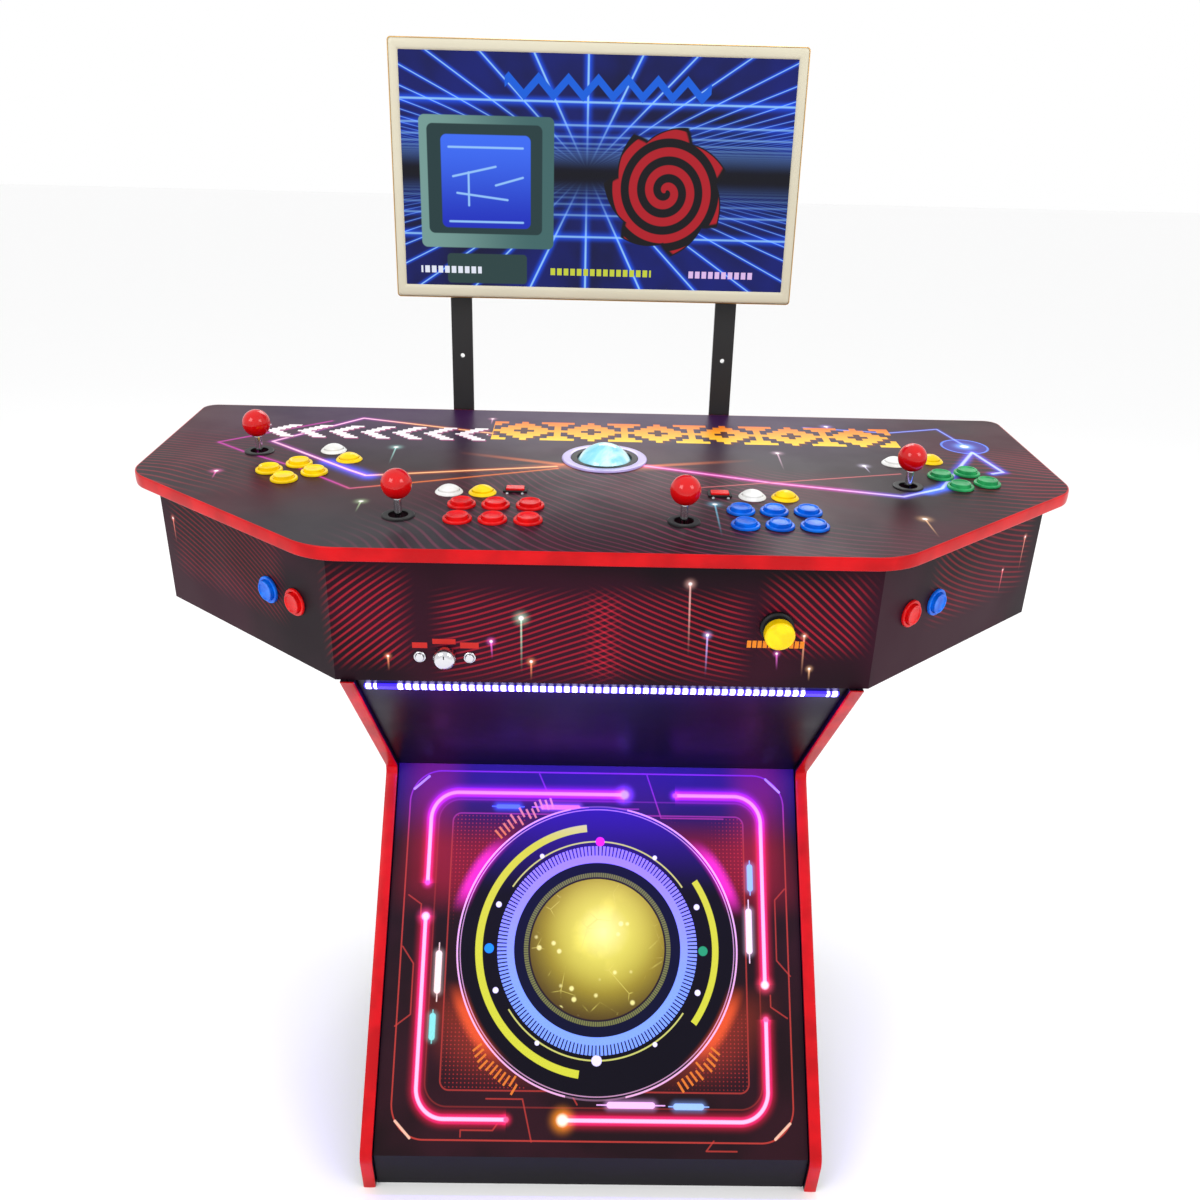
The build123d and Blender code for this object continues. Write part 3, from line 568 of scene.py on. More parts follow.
art.sparks(sheet, (
    ((-93, 93), (-93, 165), 8, (190, 230, 200)), ((-127, 123), (-126, 147), 5, (240, 110, 220)),
    ((-82, 148), (-82, 174), 5, (255, 160, 110)), ((-244, 144), (-244, 164), 4, (255, 160, 110)),
    ((93, 47), (96, 141), 6, (250, 190, 180)), ((116, 110), (117, 165), 5, (200, 180, 255)),
    ((225, 109), (227, 163), 4, (255, 180, 140)), ((196, 132), (198, 155), 4, (230, 110, 210)),
    ((235, 151), (236, 168), 4, (250, 190, 140)), ((-610, 60), (-610, 96), 4, (255, 140, 120)),
    ((600, 60), (600, 110), 4, (255, 160, 140)), ((560, 95), (560, 130), 3, (255, 120, 130))))
for x0, x1, y0, y1 in ((-216, -199, 126, 133), (-193, -167, 121, 127.5), (-162, -141, 125, 132.5)):
    art.cover(inside(along, x0, x1) * inside(depth, y0, y1), ink(190, 44, 40))
stripe = ((along - 160) / 6.0).part() > 0.22
art.cover(inside(along, 160, 226) * inside(depth, 116, 125) * stripe, ink(236, 136, 40))
art.cover(back.fade(310, 290), ink(24, 12, 19))
box_finish.set(base_color=art.colour)
laminate(box_finish, spot, 0.36)
dress("control_box", box_finish)

# ==== Edge mouldings ==================================================================
# Red T-moulding pressed into a slot in each board's edge: a soft vinyl band, glossy,
# a little crowned, with rounded lips.
moulding = mottled("red_moulding", ink(178, 6, 14), ink(204, 9, 18), (0.02, 3.0), (0.05, 2.0, 0.04, 0.0005),
                   True, roughness=0.28, specular_ior_level=0.15)


def outline(corners, radii, steps=10):
    """Closed line through the corners, each rounded by a true arc of its radius."""
    made, count = [], len(corners)
    for i, radius in enumerate(radii):
        corner = np.array(corners[i], float)
        into = np.array(corners[i - 1], float) - corner
        out = np.array(corners[(i + 1) % count], float) - corner
        into, out = into / np.hypot(*into), out / np.hypot(*out)
        if radius == 0:
            made.append(corner[None])
            continue
        half = math.acos(float(np.clip(into @ out, -1, 1))) / 2
        middle = (into + out) / np.hypot(*(into + out))
        centre = corner + middle * radius / math.sin(half)
        start, end = corner + into * radius / math.tan(half), corner + out * radius / math.tan(half)
        a0 = math.atan2(*(start - centre)[::-1])
        sweep = (math.atan2(*(end - centre)[::-1]) - a0 + math.pi) % (2 * math.pi) - math.pi
        angle = a0 + sweep * np.linspace(0, 1, steps + 1)
        made.append(centre + radius * np.stack([np.cos(angle), np.sin(angle)], -1))
    return np.concatenate(made)


def outward(line, closed):
    """Unit normals to the right of a line at its points, the mean of those of its two runs."""
    before, after = np.roll(line, 1, 0), np.roll(line, -1, 0)
    if not closed:
        before[0], after[-1] = 2 * line[0] - line[1], 2 * line[-1] - line[-2]
    runs = [b - a for a, b in ((before, line), (line, after))]
    normals = [np.stack([r[:, 1], -r[:, 0]], -1) / np.hypot(r[:, 0], r[:, 1])[:, None] for r in runs]
    mean = normals[0] + normals[1]
    mean /= np.hypot(mean[:, 0], mean[:, 1])[:, None]
    return mean / (mean * normals[0]).sum(-1)[:, None]


def band_profile(proud, thick, lip=1.3):
    """Closed section of the moulding's band: out from the board, and across its thickness."""
    face = np.linspace(-1, 1, 9)
    crown = np.stack([proud - 0.35 * face ** 2, thick / 2 + face * (thick / 2 - lip)], -1)
    lips = [(proud - 0.6, 0.45), (proud - 1.3, 0.08), (0.0, 0.0)]
    low = [(x, y) for x, y in reversed(lips)]
    high = [(x, thick - y) for x, y in lips]
    return np.array([*low, *crown, *high, low[0]])


def carried(line, normals, section, lift):
    """Section carried along a line: its points moved out along the normals, and lifted across."""
    flat_part = line[:, None] + normals[:, None] * section[None, :, :1]
    height = np.broadcast_to(lift + section[None, :, 1:], flat_part.shape[:2] + (1,))
    return np.concatenate([flat_part, height], -1)


BOARD_MM = 16
deck_corners = [(-316, 0), (316, 0), (586, 224), (586, 525), (-586, 525), (-586, 224)]
deck_line = outline(deck_corners, [90, 90, 60, 20, 20, 60])
deck_normals = outward(deck_line, True)
ring = carried(deck_line - 2 * deck_normals, deck_normals, band_profile(2, BOARD_MM), -BOARD_MM)
mouldings = [placed(np.concatenate([ring, ring[:1]]), deck)]


def crossing(p, q, r, t):
    """Point where the line through p and q crosses the one through r and t."""
    a, b, c = np.subtract(q, p), np.subtract(t, r), np.subtract(r, p)
    return tuple(np.array(p) + a * ((c[0] * b[1] - c[1] * b[0]) / (a[0] * b[1] - a[1] * b[0])))


# edges of a side board in mm, seen from the side as (back, up), ending under the deck box
deck_under = [tuple((deck @ Vector((0, s * MM, -176 * MM)) * 1000)[1:]) for s in (0, 525)]
sill, knee, top_aim = (-262.5, 63), (55.5, 458), (-180.5, 706.0)
top_front = crossing(knee, top_aim, *deck_under)
front_line = outline([(-250.5, 0), sill, knee, top_front], [0, 22, 14, 0])[::-1]
rear_top = crossing((262.5, 0), (262.5, 10), *deck_under)
rear_line = np.array([(262.5, 0.0), (262.5, rear_top[1] / 2), rear_top])


def mitred(line):
    """Normals of an open line, the end ones slid along it so that floor and deck cut its ends."""
    normals = outward(line, False)
    deck_level = np.array([-math.sin(slope), math.cos(slope)])
    for end, run in ((0, line[1] - line[0]), (-1, line[-1] - line[-2])):
        level_here = np.array([0.0, 1.0]) if line[end][1] < 1 else deck_level
        normals[end] = normals[end] - run * (normals[end] @ level_here) / (run @ level_here)
    return normals


for x in (-300, 300 - BOARD_MM):
    for line in (front_line, rear_line):
        strip = carried(line, mitred(line), band_profile(1.95, BOARD_MM), x)[..., [2, 0, 1]] * MM
        mouldings.append(strip)
        for end, flip in ((strip[0], False), (strip[-1], True)):
            middle = np.broadcast_to(end.mean(0), end.shape)
            mouldings.append(np.stack([end, middle] if flip else [middle, end]))
piece("edge_moulding_bands", "cabinet", moulding, mouldings, ["edge_mouldings"], 50)

# ==== Pedestal ========================================================================
# Shaped side boards and the boards between them: dark laminate on fibreboard, satin.
body_finish = Finish("dark_laminate")
place = body_finish.object_place()
haze = body_finish.noise(place, 0.006, 3.0)
body_finish.set(base_color=body_finish.mix(haze.fade(0.65, 0.35), ink(14, 10, 18), ink(20, 14, 24)))
laminate(body_finish, place, 0.3)
dress("pedestal_carcass", body_finish)

# ==== Lower front panel ===============================================================
# The printed board that leans back between the sides: four neon tubes round a ringed
# dial with a glowing globe, thin circuit lines, and small lit capsules. Blue light from
# the strip above is painted across its top.
lean = math.atan2(395, 318)
front = Finish("lower_panel_print")
toe = Vector((0, -0.2625, 0.063))
spot = front.object_place(1000.0, (-lean, 0, 0), tuple(-(Matrix.Rotation(-lean, 3, "X") @ toe) * 1000))
across, rise, out = front.split(spot)
flat = front.join(across, rise)
haze, cloud = front.noise(spot, 0.006, 3.0), front.noise(spot, 0.025, 5.0)
art = Print(front, front.mix(haze.fade(0.6, 0.4), ink(30, 15, 18), ink(44, 18, 24)))
# painted light: this mask grows towards the top of the board, under the light strip; it turns the print's
# colours blue and violet there
painted_strip_light = rise.fade(505, 395)


def frame_gap(low, high, radius):
    """Signed distance to a rounded rectangle, below nought inside it."""
    middle, half = np.add(low, high) / 2, np.subtract(high, low) / 2 - radius
    px, py = (across - middle[0]).size() - half[0], (rise - middle[1]).size() - half[1]
    outer = front.vector("LENGTH", front.join(px.most(0.0), py.most(0.0)), out=1)
    return outer + px.most(py).least(0.0) - radius


# glows behind the dial
dial = (4, 263)
far = front.to_point(flat, dial)
art.glow(far.band(200, 10, 120) * rise.band(372, 16, 60) * 0.42, ink(160, 20, 36))
art.glow(far.band(195, 5, 70) * rise.band(150, 16, 60) * 0.36, ink(170, 60, 20))
art.glow(across.size().band(230, 6, 50) * rise.fade(420, 300) * 0.12, ink(255, 40, 60))
dots = ((across / 5.2).part() - 0.5).size() + ((rise / 5.2).part() - 0.5).size()
dots = dots.fade(0.12, 0.3) * (far > 200) * (frame_gap((-200, 84), (208, 442), 10) < 0)
art.glow(dots * haze.fade(0.6, 0.4) * 0.35, ink(230, 60, 50))

# thin circuit lines
warm_line = front.mix(painted_strip_light, ink(190, 62, 48), ink(150, 50, 170))
for low, high, radius, strength in (((-264, 22), (266, 502), 44, 0.75), ((-202, 82), (208, 443), 12, 0.55),
                                    ((-222, 62), (226, 462), 30, 0.25)):
    art.cover(frame_gap(low, high, radius).band(0.0, 0.55, 0.9) * strength, warm_line)
for points in (
        [(-82, 500), (-60, 452), (60, 452)], [(72, 500), (92, 440), (180, 440)],
        [(-258, 330), (-240, 318), (-240, 300)], [(-79, 21), (-92, 72), (-140, 72)],
        [(262, 176), (240, 190), (240, 205)], [(-20, 66), (-30, 82), (60, 82)],
        [(-266, 160), (-246, 175), (-246, 240), (-262, 262)],
        [(268, 230), (250, 250), (250, 330), (264, 345)],
        [(-172, 26), (-172, 34), (-130, 34), (-124, 42)], [(160, 24), (150, 12), (190, 12)]):
    art.cover(front.to_path(flat, points).band(0.0, 0.5, 0.9) * 0.6, warm_line)

# neon tubes: one rounded frame with four gaps
tube_gap = frame_gap((-233, 47), (233, 472), 38).size()
solid = 1 - inside(across, 40, 112) * (rise > 300)
solid = solid * (1 - inside(across, -113, -39) * (rise < 200))
solid = solid * (1 - inside(rise, 303, 346) * (across < 0))
solid = solid * (1 - inside(rise, 174, 218) * (across > 0))
halo = front.mix(painted_strip_light, ink(190, 18, 50), ink(150, 20, 190))
core = front.mix(painted_strip_light, ink(255, 190, 215), ink(225, 140, 255))
art.glow((tube_gap.fade(0, 19) ** 2.0) * solid * 0.9, halo)
art.cover(tube_gap.fade(4.2, 7.5) * solid * 0.85, front.mix(painted_strip_light, ink(226, 36, 92), ink(190, 50, 235)))
art.cover(tube_gap.fade(1.2, 3.4) * solid, core)
for point, size, tint, heart in (
        ((40, 472), 15, (170, 90, 255), (205, 170, 255)), ((112, 472), 9, (150, 30, 190), (200, 90, 240)),
        ((-233, 302), 13, (235, 60, 110), (255, 220, 235)), ((-233, 347), 9, (220, 40, 120), (240, 90, 180)),
        ((233, 218), 13, (240, 70, 90), (255, 235, 225)), ((233, 174), 9, (220, 40, 80), (240, 110, 150)),
        ((-39, 47), 18, (255, 150, 20), (255, 250, 200)), ((-113, 47), 9, (220, 30, 70), (240, 90, 130))):
    gap = front.to_point(flat, point)
    art.glow(gap.fade(0, size * 1.5) ** 2.0, ink(*tint))
    art.cover(gap.fade(size * 0.2, size * 0.55), ink(*heart))

# capsules and corner dashes
for start, end, half, tint in (
        ((-139, 453), (-111, 453), 3.0, (90, 120, 255)), ((-76, 453), (-26, 453), 3.4, (220, 120, 255)),
        ((216, 374), (216, 345), 4.0, (150, 190, 210)), ((213, 314), (213, 262), 4.2, (255, 225, 215)),
        ((-212, 253), (-212, 206), 4.4, (255, 225, 190)), ((-216, 173), (-216, 147), 4.2, (130, 220, 190)),
        ((23, 66), (79, 66), 4.0, (255, 190, 235)), ((111, 65), (144, 65), 4.0, (150, 190, 240))):
    gap = front.to_line(flat, start, end)
    art.glow((gap.fade(0, 14) ** 2.0) * 0.35, ink(*tint))
    art.cover(gap.fade(half - 0.8, half + 0.6), ink(*tint))
    pin = np.subtract(end, start) * 0.3
    pins = front.to_line(flat, start - pin, end + pin)
    art.cover(pins.fade(0.3, 1.2) * 0.8, ink(*tint))
dash_ink = front.mix(painted_strip_light, ink(240, 190, 150), ink(190, 150, 230))
for start, end in (((-259, 476), (-239, 494)), ((242, 497), (261, 479)), ((-258, 44), (-238, 24)),
                   ((261, 46), (241, 27))):
    art.cover(front.to_line(flat, start, end).fade(1.0, 2.2) * 0.9, dash_ink)

# the dial: rings by radius, arcs and ticks by angle
dx, dy = across - dial[0], rise - dial[1]
angle = dy.math("ARCTAN2", dx) * (180 / math.pi)
night = front.mix(rise.fade(440, 330), ink(13, 10, 18), ink(42, 18, 96))
art.cover(far.fade(190, 191.5), night)
ring_colour = front.mix(painted_strip_light, ink(225, 170, 190), ink(200, 130, 240))
art.cover(far.band(191.5, 0.7, 0.9) * (1 - (dx.size() < 40) * 0.8), ring_colour)
art.cover(far.band(187.5, 0.3, 0.8) * 0.6, ring_colour)
art.glow(far.band(196, 1.0, 14) * rise.band(360, 15, 40) * 0.8, ink(230, 40, 160))
art.glow(far.band(196, 1.0, 14) * rise.band(165, 15, 40) * 0.6, ink(240, 90, 30))
olive = front.mix(painted_strip_light, ink(196, 202, 50), ink(205, 200, 190))
art.cover(far.band(162, 4.6, 0.8) * inside(angle, 96, 181), olive)
art.cover(far.band(162, 4.6, 0.8) * (angle < -98), olive)
art.cover(far.band(162, 4.0, 0.8) * inside(angle, -36, 34), olive)
thread = inside(angle.size(), 35, 146)
art.cover(far.band(143, 0.6, 0.8) * thread, front.mix(painted_strip_light, ink(190, 195, 90), ink(190, 180, 220)))
folded = front.join(dx.size(), dy.size())
for point, size in (((79, 122), 3.2), ((137, 56), 4.0)):
    art.cover(front.to_point(folded, point).fade(size - 0.8, size + 0.5), ink(235, 232, 236))
for point, size, tint in (((6, 406), 6.5, (235, 40, 220)), ((-144, 261), 6.5, (30, 140, 230)),
                          ((149, 261), 6.5, (40, 150, 90)), ((5, 120), 7.0, (225, 220, 245))):
    art.cover(front.to_point(flat, point).fade(size - 0.8, size + 0.5), ink(*tint))
ticks = ((angle / 2.25).part() - 0.5).size()
peri = front.mix(rise.fade(400, 180), ink(122, 160, 236), ink(150, 130, 240))
art.cover(far.band(127, 9.5, 0.8) * ticks.fade(0.30, 0.38) * 0.95, peri)
art.cover(far.band(119, 4.5, 1.0), peri)
art.cover(far.fade(112.5, 114), ink(12, 14, 36))
beads = ((angle / 1.8).part() > 0.35) * 0.6 + 0.25
art.cover(far.band(97.5, 2.6, 0.8) * beads, front.mix(painted_strip_light, ink(120, 125, 60), ink(120, 80, 110)))
art.cover(far.fade(91, 95), ink(58, 42, 20))
globe = front.to_point(flat, (12, 285))
lit = front.ramp(globe.fade(0, 125, False), (0.0, ink(96, 76, 28)), (0.35, ink(160, 146, 40)),
                 (0.7, ink(206, 202, 70)), (1.0, ink(240, 240, 120)))
art.cover(globe.fade(50, 150) * (far < 92), lit)
art.glow(cloud.fade(0.75, 0.45) * (far < 92) * globe.fade(0, 80) * 0.35, ink(200, 190, 70))
cities = front.cells(spot, 0.045)
art.cover(cities.fade(0.08, 0.2) * (far < 90) * 0.8, ink(246, 244, 130))
roads = front.cells(spot, 0.028, "DISTANCE_TO_EDGE").fade(0.004, 0.022)
art.cover(roads * (far < 90) * cloud.fade(0.62, 0.48) * 0.55, ink(214, 206, 84))

# fans of ticks outside the dial, each tick's place along its ray scattered by a sine
fine = ((angle / 2.0).part() - 0.5).size()
scatter = (((angle / 2.0).floor() * 12.99).math("SINE") * 437.5).part()
ray = far + scatter * 12 + 6
fans = inside(angle, 108, 134) + inside(angle, -142, -120) + inside(angle, -58, -38)
ticks = inside(ray, 211, 226) * fine.fade(0.16, 0.24) * fans
art.cover(ticks * 0.9, front.mix(painted_strip_light, ink(220, 120, 40), ink(225, 150, 150)))
# painted light: a blue wash over the top of the board stands in for the light strip's glow
art.glow(painted_strip_light * 0.35, ink(20, 4, 150))
front.set(base_color=art.colour)
laminate(front, spot, 0.3)
dress("lower_front_panel", front)

# ==== Light strip =====================================================================
# A flexible strip of blue-violet diodes behind a clear cover, stuck under the deck.
strip = Finish("strip_light", roughness=0.4, emission_strength=9.0)
x, y, z = strip.split(strip.object_place())
beat = ((x / 9.2).part() - 0.5).size()
hot = beat.fade(0.12, 0.42) * (1 - inside(x, -262, -240)) * (1 - inside(x, 236, 262))
strip.set(base_color=strip.mix(hot, ink(20, 16, 90), ink(200, 200, 255)),
          emission_color=strip.mix(hot, ink(26, 14, 150), ink(190, 180, 255)))
dress("light_strip", strip)
strip_low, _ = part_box("light_strip")
glow_place = (0, strip_low.y - 0.012, strip_low.z - 0.004)
glow_aim = (0, strip_low.y + 0.10, strip_low.z - 0.32)
glow = lamp("strip_glow", glow_place, glow_aim, 0.5, 3.2, (0.16, 0.06, 1.0))
glow.data.shape, glow.data.size, glow.data.size_y = "RECTANGLE", 0.54, 0.012

# ==== Monitor =========================================================================
# A 24-inch display in a cream frame with a thin gold outer edge. Its back is a hollow
# moulded case with painted shade for vent slots, and the lit picture shows a plain neon grid.
low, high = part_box("monitor_housing")
mid_x, mid_z = (low.x + high.x) / 2 * 1000, (low.z + high.z) / 2 * 1000
width, height = (high.x - low.x) * 1000, (high.z - low.z) * 1000
face_y, back_y = low.y * 1000, high.y * 1000
cream = mottled("cream_frame", ink(198, 191, 168), ink(212, 206, 184), (0.01, 3.0), (1.4, 2.0, 0.03),
                roughness=0.35)


def window(half_x, half_z, radius, centre_z):
    """Rounded rectangle of the frame, seen from the front, as x and z in mm."""
    corners = [(mid_x - half_x, centre_z - half_z), (mid_x + half_x, centre_z - half_z),
               (mid_x + half_x, centre_z + half_z), (mid_x - half_x, centre_z + half_z)]
    return outline(corners, [radius] * 4, 5)


def frame_rows(rows):
    """Grid through rounded rectangles, each of half width, half height, radius, centre height and depth."""
    grid = []
    for half_x, half_z, radius, centre_z, depth in rows:
        line = window(half_x, half_z, radius, centre_z)
        line = np.concatenate([line, line[:1]])
        grid.append(np.stack([line[:, 0], np.full(len(line), face_y + depth), line[:, 1]], -1))
    return np.array(grid) * MM


view_x, view_z, view_mid = 521 / 2, 293 / 2, 1247.0
half_x, half_z = width / 2, height / 2


def rim_row(inset, radius, depth):
    """Row of frame_rows that follows the monitor's outline."""
    return half_x - inset, half_z - inset, radius, mid_z, depth


bezel_rows = [rim_row(1.2, 4, 10), rim_row(1.2, 4, 3.2), rim_row(2.4, 4, 1.2), rim_row(4.5, 4, 0.4),
              (view_x + 4, view_z + 4, 2, view_mid, 0.4), (view_x + 1.4, view_z + 1.4, 1, view_mid, 1.0),
              (view_x, view_z, 1, view_mid, 2.6), (view_x, view_z, 1, view_mid, 10)]
piece("monitor_frame", "cabinet", cream, [frame_rows(bezel_rows + bezel_rows[:1])],
      ["monitor_housing"], 40)
gold = mottled("gold_trim", ink(206, 158, 88), ink(226, 184, 112), (0.03, 2.0), metallic=1.0, roughness=0.3)
trim_rows = [rim_row(1.2, 4, 9.5), rim_row(0, 5, 9.5), rim_row(0, 5, 3.4), rim_row(0.5, 5, 2.4),
             rim_row(1.2, 4, 2.2)]
piece("monitor_trim", "cabinet", gold, [frame_rows(trim_rows + trim_rows[:1])], sharp=40)
case = Finish("case_back", roughness=0.5)
place = case.object_place()
x, y, z = case.split(place)
# painted shade: darker stripes on the back stand in for the shaded insides of vent slots, which the case's
# shape does not have
painted_vent_shade = inside((z / 5.0).part(), 0.0, 0.45) * inside((x - mid_x).size(), 30, 190)
painted_vent_shade = painted_vent_shade * inside(z, mid_z + 96, mid_z + 132) * (y > back_y - 3)
case.set(base_color=case.mix(painted_vent_shade, ink(34, 34, 37), ink(8, 8, 9)))
case.bump(case.noise(place, 1.1, 3.0), 0.15)
depth = back_y - face_y
case_rows = [(0.5, 0.5, 0.2, mid_z, 10), rim_row(3, 4, 10), rim_row(0, 6, 10), rim_row(0, 6, depth - 16),
             rim_row(6, 10, depth - 5), rim_row(22, 14, depth - 0.8),
             (half_x - 60, half_z - 50, 14, mid_z, depth), (0.5, 0.5, 0.2, mid_z, depth)]
piece("monitor_case", "cabinet", case, [frame_rows(case_rows)], sharp=40)

screen = Finish("screen_picture", roughness=0.15, specular_ior_level=0.15, emission_strength=0.95)
place = screen.object_place()
x, y, z = screen.split(place)
HALF_PICTURE = 260.5          # -1..1 across, -0.56..0.56 up
px, pz = (x - mid_x) / HALF_PICTURE, (z - view_mid) / HALF_PICTURE
flat = screen.join(px, pz)
haze = screen.noise(place, 0.008, 3.0)
art = Print(screen, screen.mix(pz.size().fade(0.05, 0.5), ink(6, 10, 60), ink(2, 3, 18)))
art.cover((pz.size().fade(0.2, 0.0) * haze.fade(0.7, 0.3)) * 0.6, ink(10, 30, 140))
horizon = (pz - 0.02).size().most(0.02)
reach = 0.22 / horizon
lit = pz.size().fade(0.42, 0.02)
for value, spacing, grow in (((px + 0.05) * reach, 0.11, horizon / 0.22),
                             (reach, 0.34, horizon * horizon / 0.22)):
    gap = (0.5 - ((value / spacing).part() - 0.5).size()) * grow * spacing
    art.glow((gap.fade(0.0, 0.045) ** 2.0) * lit * 0.7, ink(20, 90, 255))
    art.cover(gap.fade(0.001, 0.008) * lit, ink(150, 205, 255))


def shape(low_corner, high_corner, radius, soft=0.006):
    """Mask of a rounded rectangle on the picture."""
    middle = np.add(low_corner, high_corner) / 2
    half = np.subtract(high_corner, low_corner) / 2 - radius
    offset = screen.vector("ABSOLUTE", screen.vector("SUBTRACT", flat, (*middle, 0.0)))
    past = screen.vector("SUBTRACT", offset, (*half, 0.0))
    gap = screen.vector("LENGTH", screen.vector("MAXIMUM", past, (0.0, 0.0, 0.0)), out=1)
    return gap.fade(radius - soft / 2, radius + soft / 2)


teal = screen.mix(px.fade(-0.9, -0.3), ink(64, 104, 104), ink(118, 158, 152))
art.cover(shape((-0.91, -0.37), (-0.22, 0.27), 0.03), teal)
art.cover(shape((-0.87, -0.30), (-0.28, 0.23), 0.03), ink(34, 60, 62))
lit_blue = screen.mix(pz.fade(0.2, -0.3), ink(20, 40, 190), ink(60, 110, 250))
art.cover(shape((-0.80, -0.27), (-0.34, 0.18), 0.03), lit_blue)
art.cover(shape((-0.78, -0.55), (-0.36, -0.40), 0.02), ink(40, 66, 66))
for start, end in (((-0.76, 0.12), (-0.38, 0.12)), ((-0.74, -0.02), (-0.52, 0.03)),
                   ((-0.52, -0.06), (-0.38, -0.02)), ((-0.66, -0.16), (-0.66, 0.0)),
                   ((-0.76, -0.24), (-0.38, -0.24)), ((-0.72, -0.10), (-0.46, -0.13))):
    art.cover(screen.to_line(flat, start, end).fade(0.002, 0.008), ink(150, 200, 255))
swirl_x, swirl_z = px - 0.36, pz + 0.07
swirl_far = (swirl_x * swirl_x + swirl_z * swirl_z) ** 0.5
swirl_angle = swirl_z.math("ARCTAN2", swirl_x) / (2 * math.pi)
petals = (((swirl_angle * 7.0 + swirl_far * 5.0).part() - 0.5).size() * 0.12 + 0.26)
art.cover((swirl_far - petals).fade(0.0, 0.008), ink(10, 5, 12))
turns = (swirl_far / 0.085 + swirl_angle).part()
art.cover(turns.band(0.5, 0.22, 0.06) * (swirl_far - petals).fade(-0.012, -0.004), ink(178, 20, 34))
zigzag = pz - ((px / 0.15).part() - 0.5).size() * 0.16
art.cover(zigzag.band(0.37, 0.022, 0.006) * inside(px, -0.47, 0.57), ink(12, 96, 224))
for x0, x1, tint in ((-0.92, -0.60, (230, 235, 250)), (-0.24, 0.30, (200, 210, 60)),
                     (0.50, 0.84, (225, 190, 240))):
    art.cover(inside(px, x0, x1) * inside(pz, -0.50, -0.465) * ((px / 0.035).part() > 0.3), ink(*tint))
screen.set(base_color=(0.005, 0.005, 0.006, 1), emission_color=art.colour)
pane = (view_x + 2, view_z + 2, 0.1, view_mid)
middle = (0.3, 0.3, 0.1, view_mid)
rows = [(*middle, 3.2), (*pane, 3.2), (*pane, 9), (*middle, 9)]
piece("monitor_picture", "cabinet", screen, [frame_rows(rows)], ["monitor_screen"], 40)

# ==== Monitor posts ===================================================================
# Flat steel bars with wooden wedges behind the deck, and a plate, all powder-coated.
powder = mottled("powder_coat", ink(16, 16, 18), ink(24, 24, 27), (0.02, 3.0), (1.6, 3.0, 0.22),
                 roughness=0.42)
dress("monitor_mount", powder)
zinc = mottled("zinc_screws", ink(150, 152, 158), ink(186, 188, 192), (0.3, 2.0), metallic=1.0,
               roughness=0.34)
dress("fasteners", zinc)

# ==== Push buttons ====================================================================
# Moulded plastic buttons: a threaded barrel with a rim, held by a nut under the board,
# and a cap that slides in it, flat and dished for play, domed for start and select.
COLOURS = {"yellow": (ink(236, 196, 0), ink(252, 216, 8)), "red": (ink(204, 6, 10), ink(228, 16, 18)),
           "blue": (ink(0, 84, 200), ink(4, 112, 232)), "green": (ink(28, 138, 78), ink(48, 168, 98)),
           "white": (ink(222, 222, 218), ink(240, 240, 238)), "black": (ink(12, 12, 13), ink(22, 22, 24))}
plastics = {name: mottled(f"{name}_plastic", *inks, (0.06, 2.0), (0.9, 2.0, 0.03), True,
                          roughness=0.45 if name == "black" else 0.26, specular_ior_level=0.25)
            for name, inks in COLOURS.items()}
black = plastics["black"]
CAP, BORE, BARREL, RIM = 12.3, 12.7, 14.0, 16.7          # radii
CAP_LOW, DOME_TOP, DOME_RISE = -26 / 3, 9.5, 4.5
play_cap = rounded([(0, CAP_LOW), (CAP, CAP_LOW), (CAP, 7.2), (10.4, 7.2), (9.4, 6.0), (0, 5.6)], 0.9)
dome_radius = (CAP ** 2 + DOME_RISE ** 2) / (2 * DOME_RISE)
dome = [(dome_radius * math.sin(a), DOME_TOP - dome_radius + dome_radius * math.cos(a))
        for a in np.linspace(math.asin(CAP / dome_radius), 0, 9)]
dome_cap = [(0, CAP_LOW), (CAP, CAP_LOW), (CAP, 4.4), *dome]
barrel = [(BARREL, 0), (BARREL, -26), (13.2, -27.5), (0, -27.5)]
play_rim = rounded([(0, -26), (BORE, -26), (BORE, 3.4), (16.2, 3.4), (RIM, 1.6), (RIM, 0), (BARREL, 0)], 1.0)
dome_rim = rounded([(0, -26), (BORE, -26), (BORE, 3.2), (14.2, 3.4), (RIM, 0.8), (RIM, 0), (BARREL, 0)], 0.7)
nut_profile = [(14.2, -16), (17.3, -16), (17.3, -20.4), (16.6, -21), (14.2, -21), (14.2, -16)]


def seat(node, direction, low_mm):
    """Place of a control from its CAD solid, which starts at low_mm along its axis.

    The middle of the solid's extent across the axis, and its lowest point along it, fix the place.
    """
    axis = Vector(direction).normalized()
    across_axis = Vector((1, 0, 0)) if abs(axis.x) < 0.5 else Vector((0, 1, 0)).cross(axis)
    side_axis = axis.cross(across_axis).normalized()
    axes = Matrix((side_axis.cross(axis), side_axis, axis)).transposed()
    solid = frame["nodes"][node]
    points = np.empty(len(solid.data.vertices) * 3)
    solid.data.vertices.foreach_get("co", points)
    in_world = np.array(solid.matrix_world)
    points = (points.reshape(-1, 3) @ in_world[:3, :3].T + in_world[:3, 3]) @ np.array(axes)
    low, high = points.min(0), points.max(0)
    origin = Vector(((low[0] + high[0]) / 2, (low[1] + high[1]) / 2, low[2] - low_mm * MM))
    return Matrix.Translation(axes @ origin) @ axes.to_4x4()


def lathe(profile, place, sides=48, ripple=None):
    """Turned surface carried to its place."""
    return placed(turned(profile, sides, ripple), place)


def knurl(depth, count, square=False):
    """Ripple of a turned part: round flutes, or the square notches of a nut."""
    def ripple(angle):
        wave = np.sin(count * angle)
        return 1 + depth * (np.sign(wave) if square else wave)
    return ripple

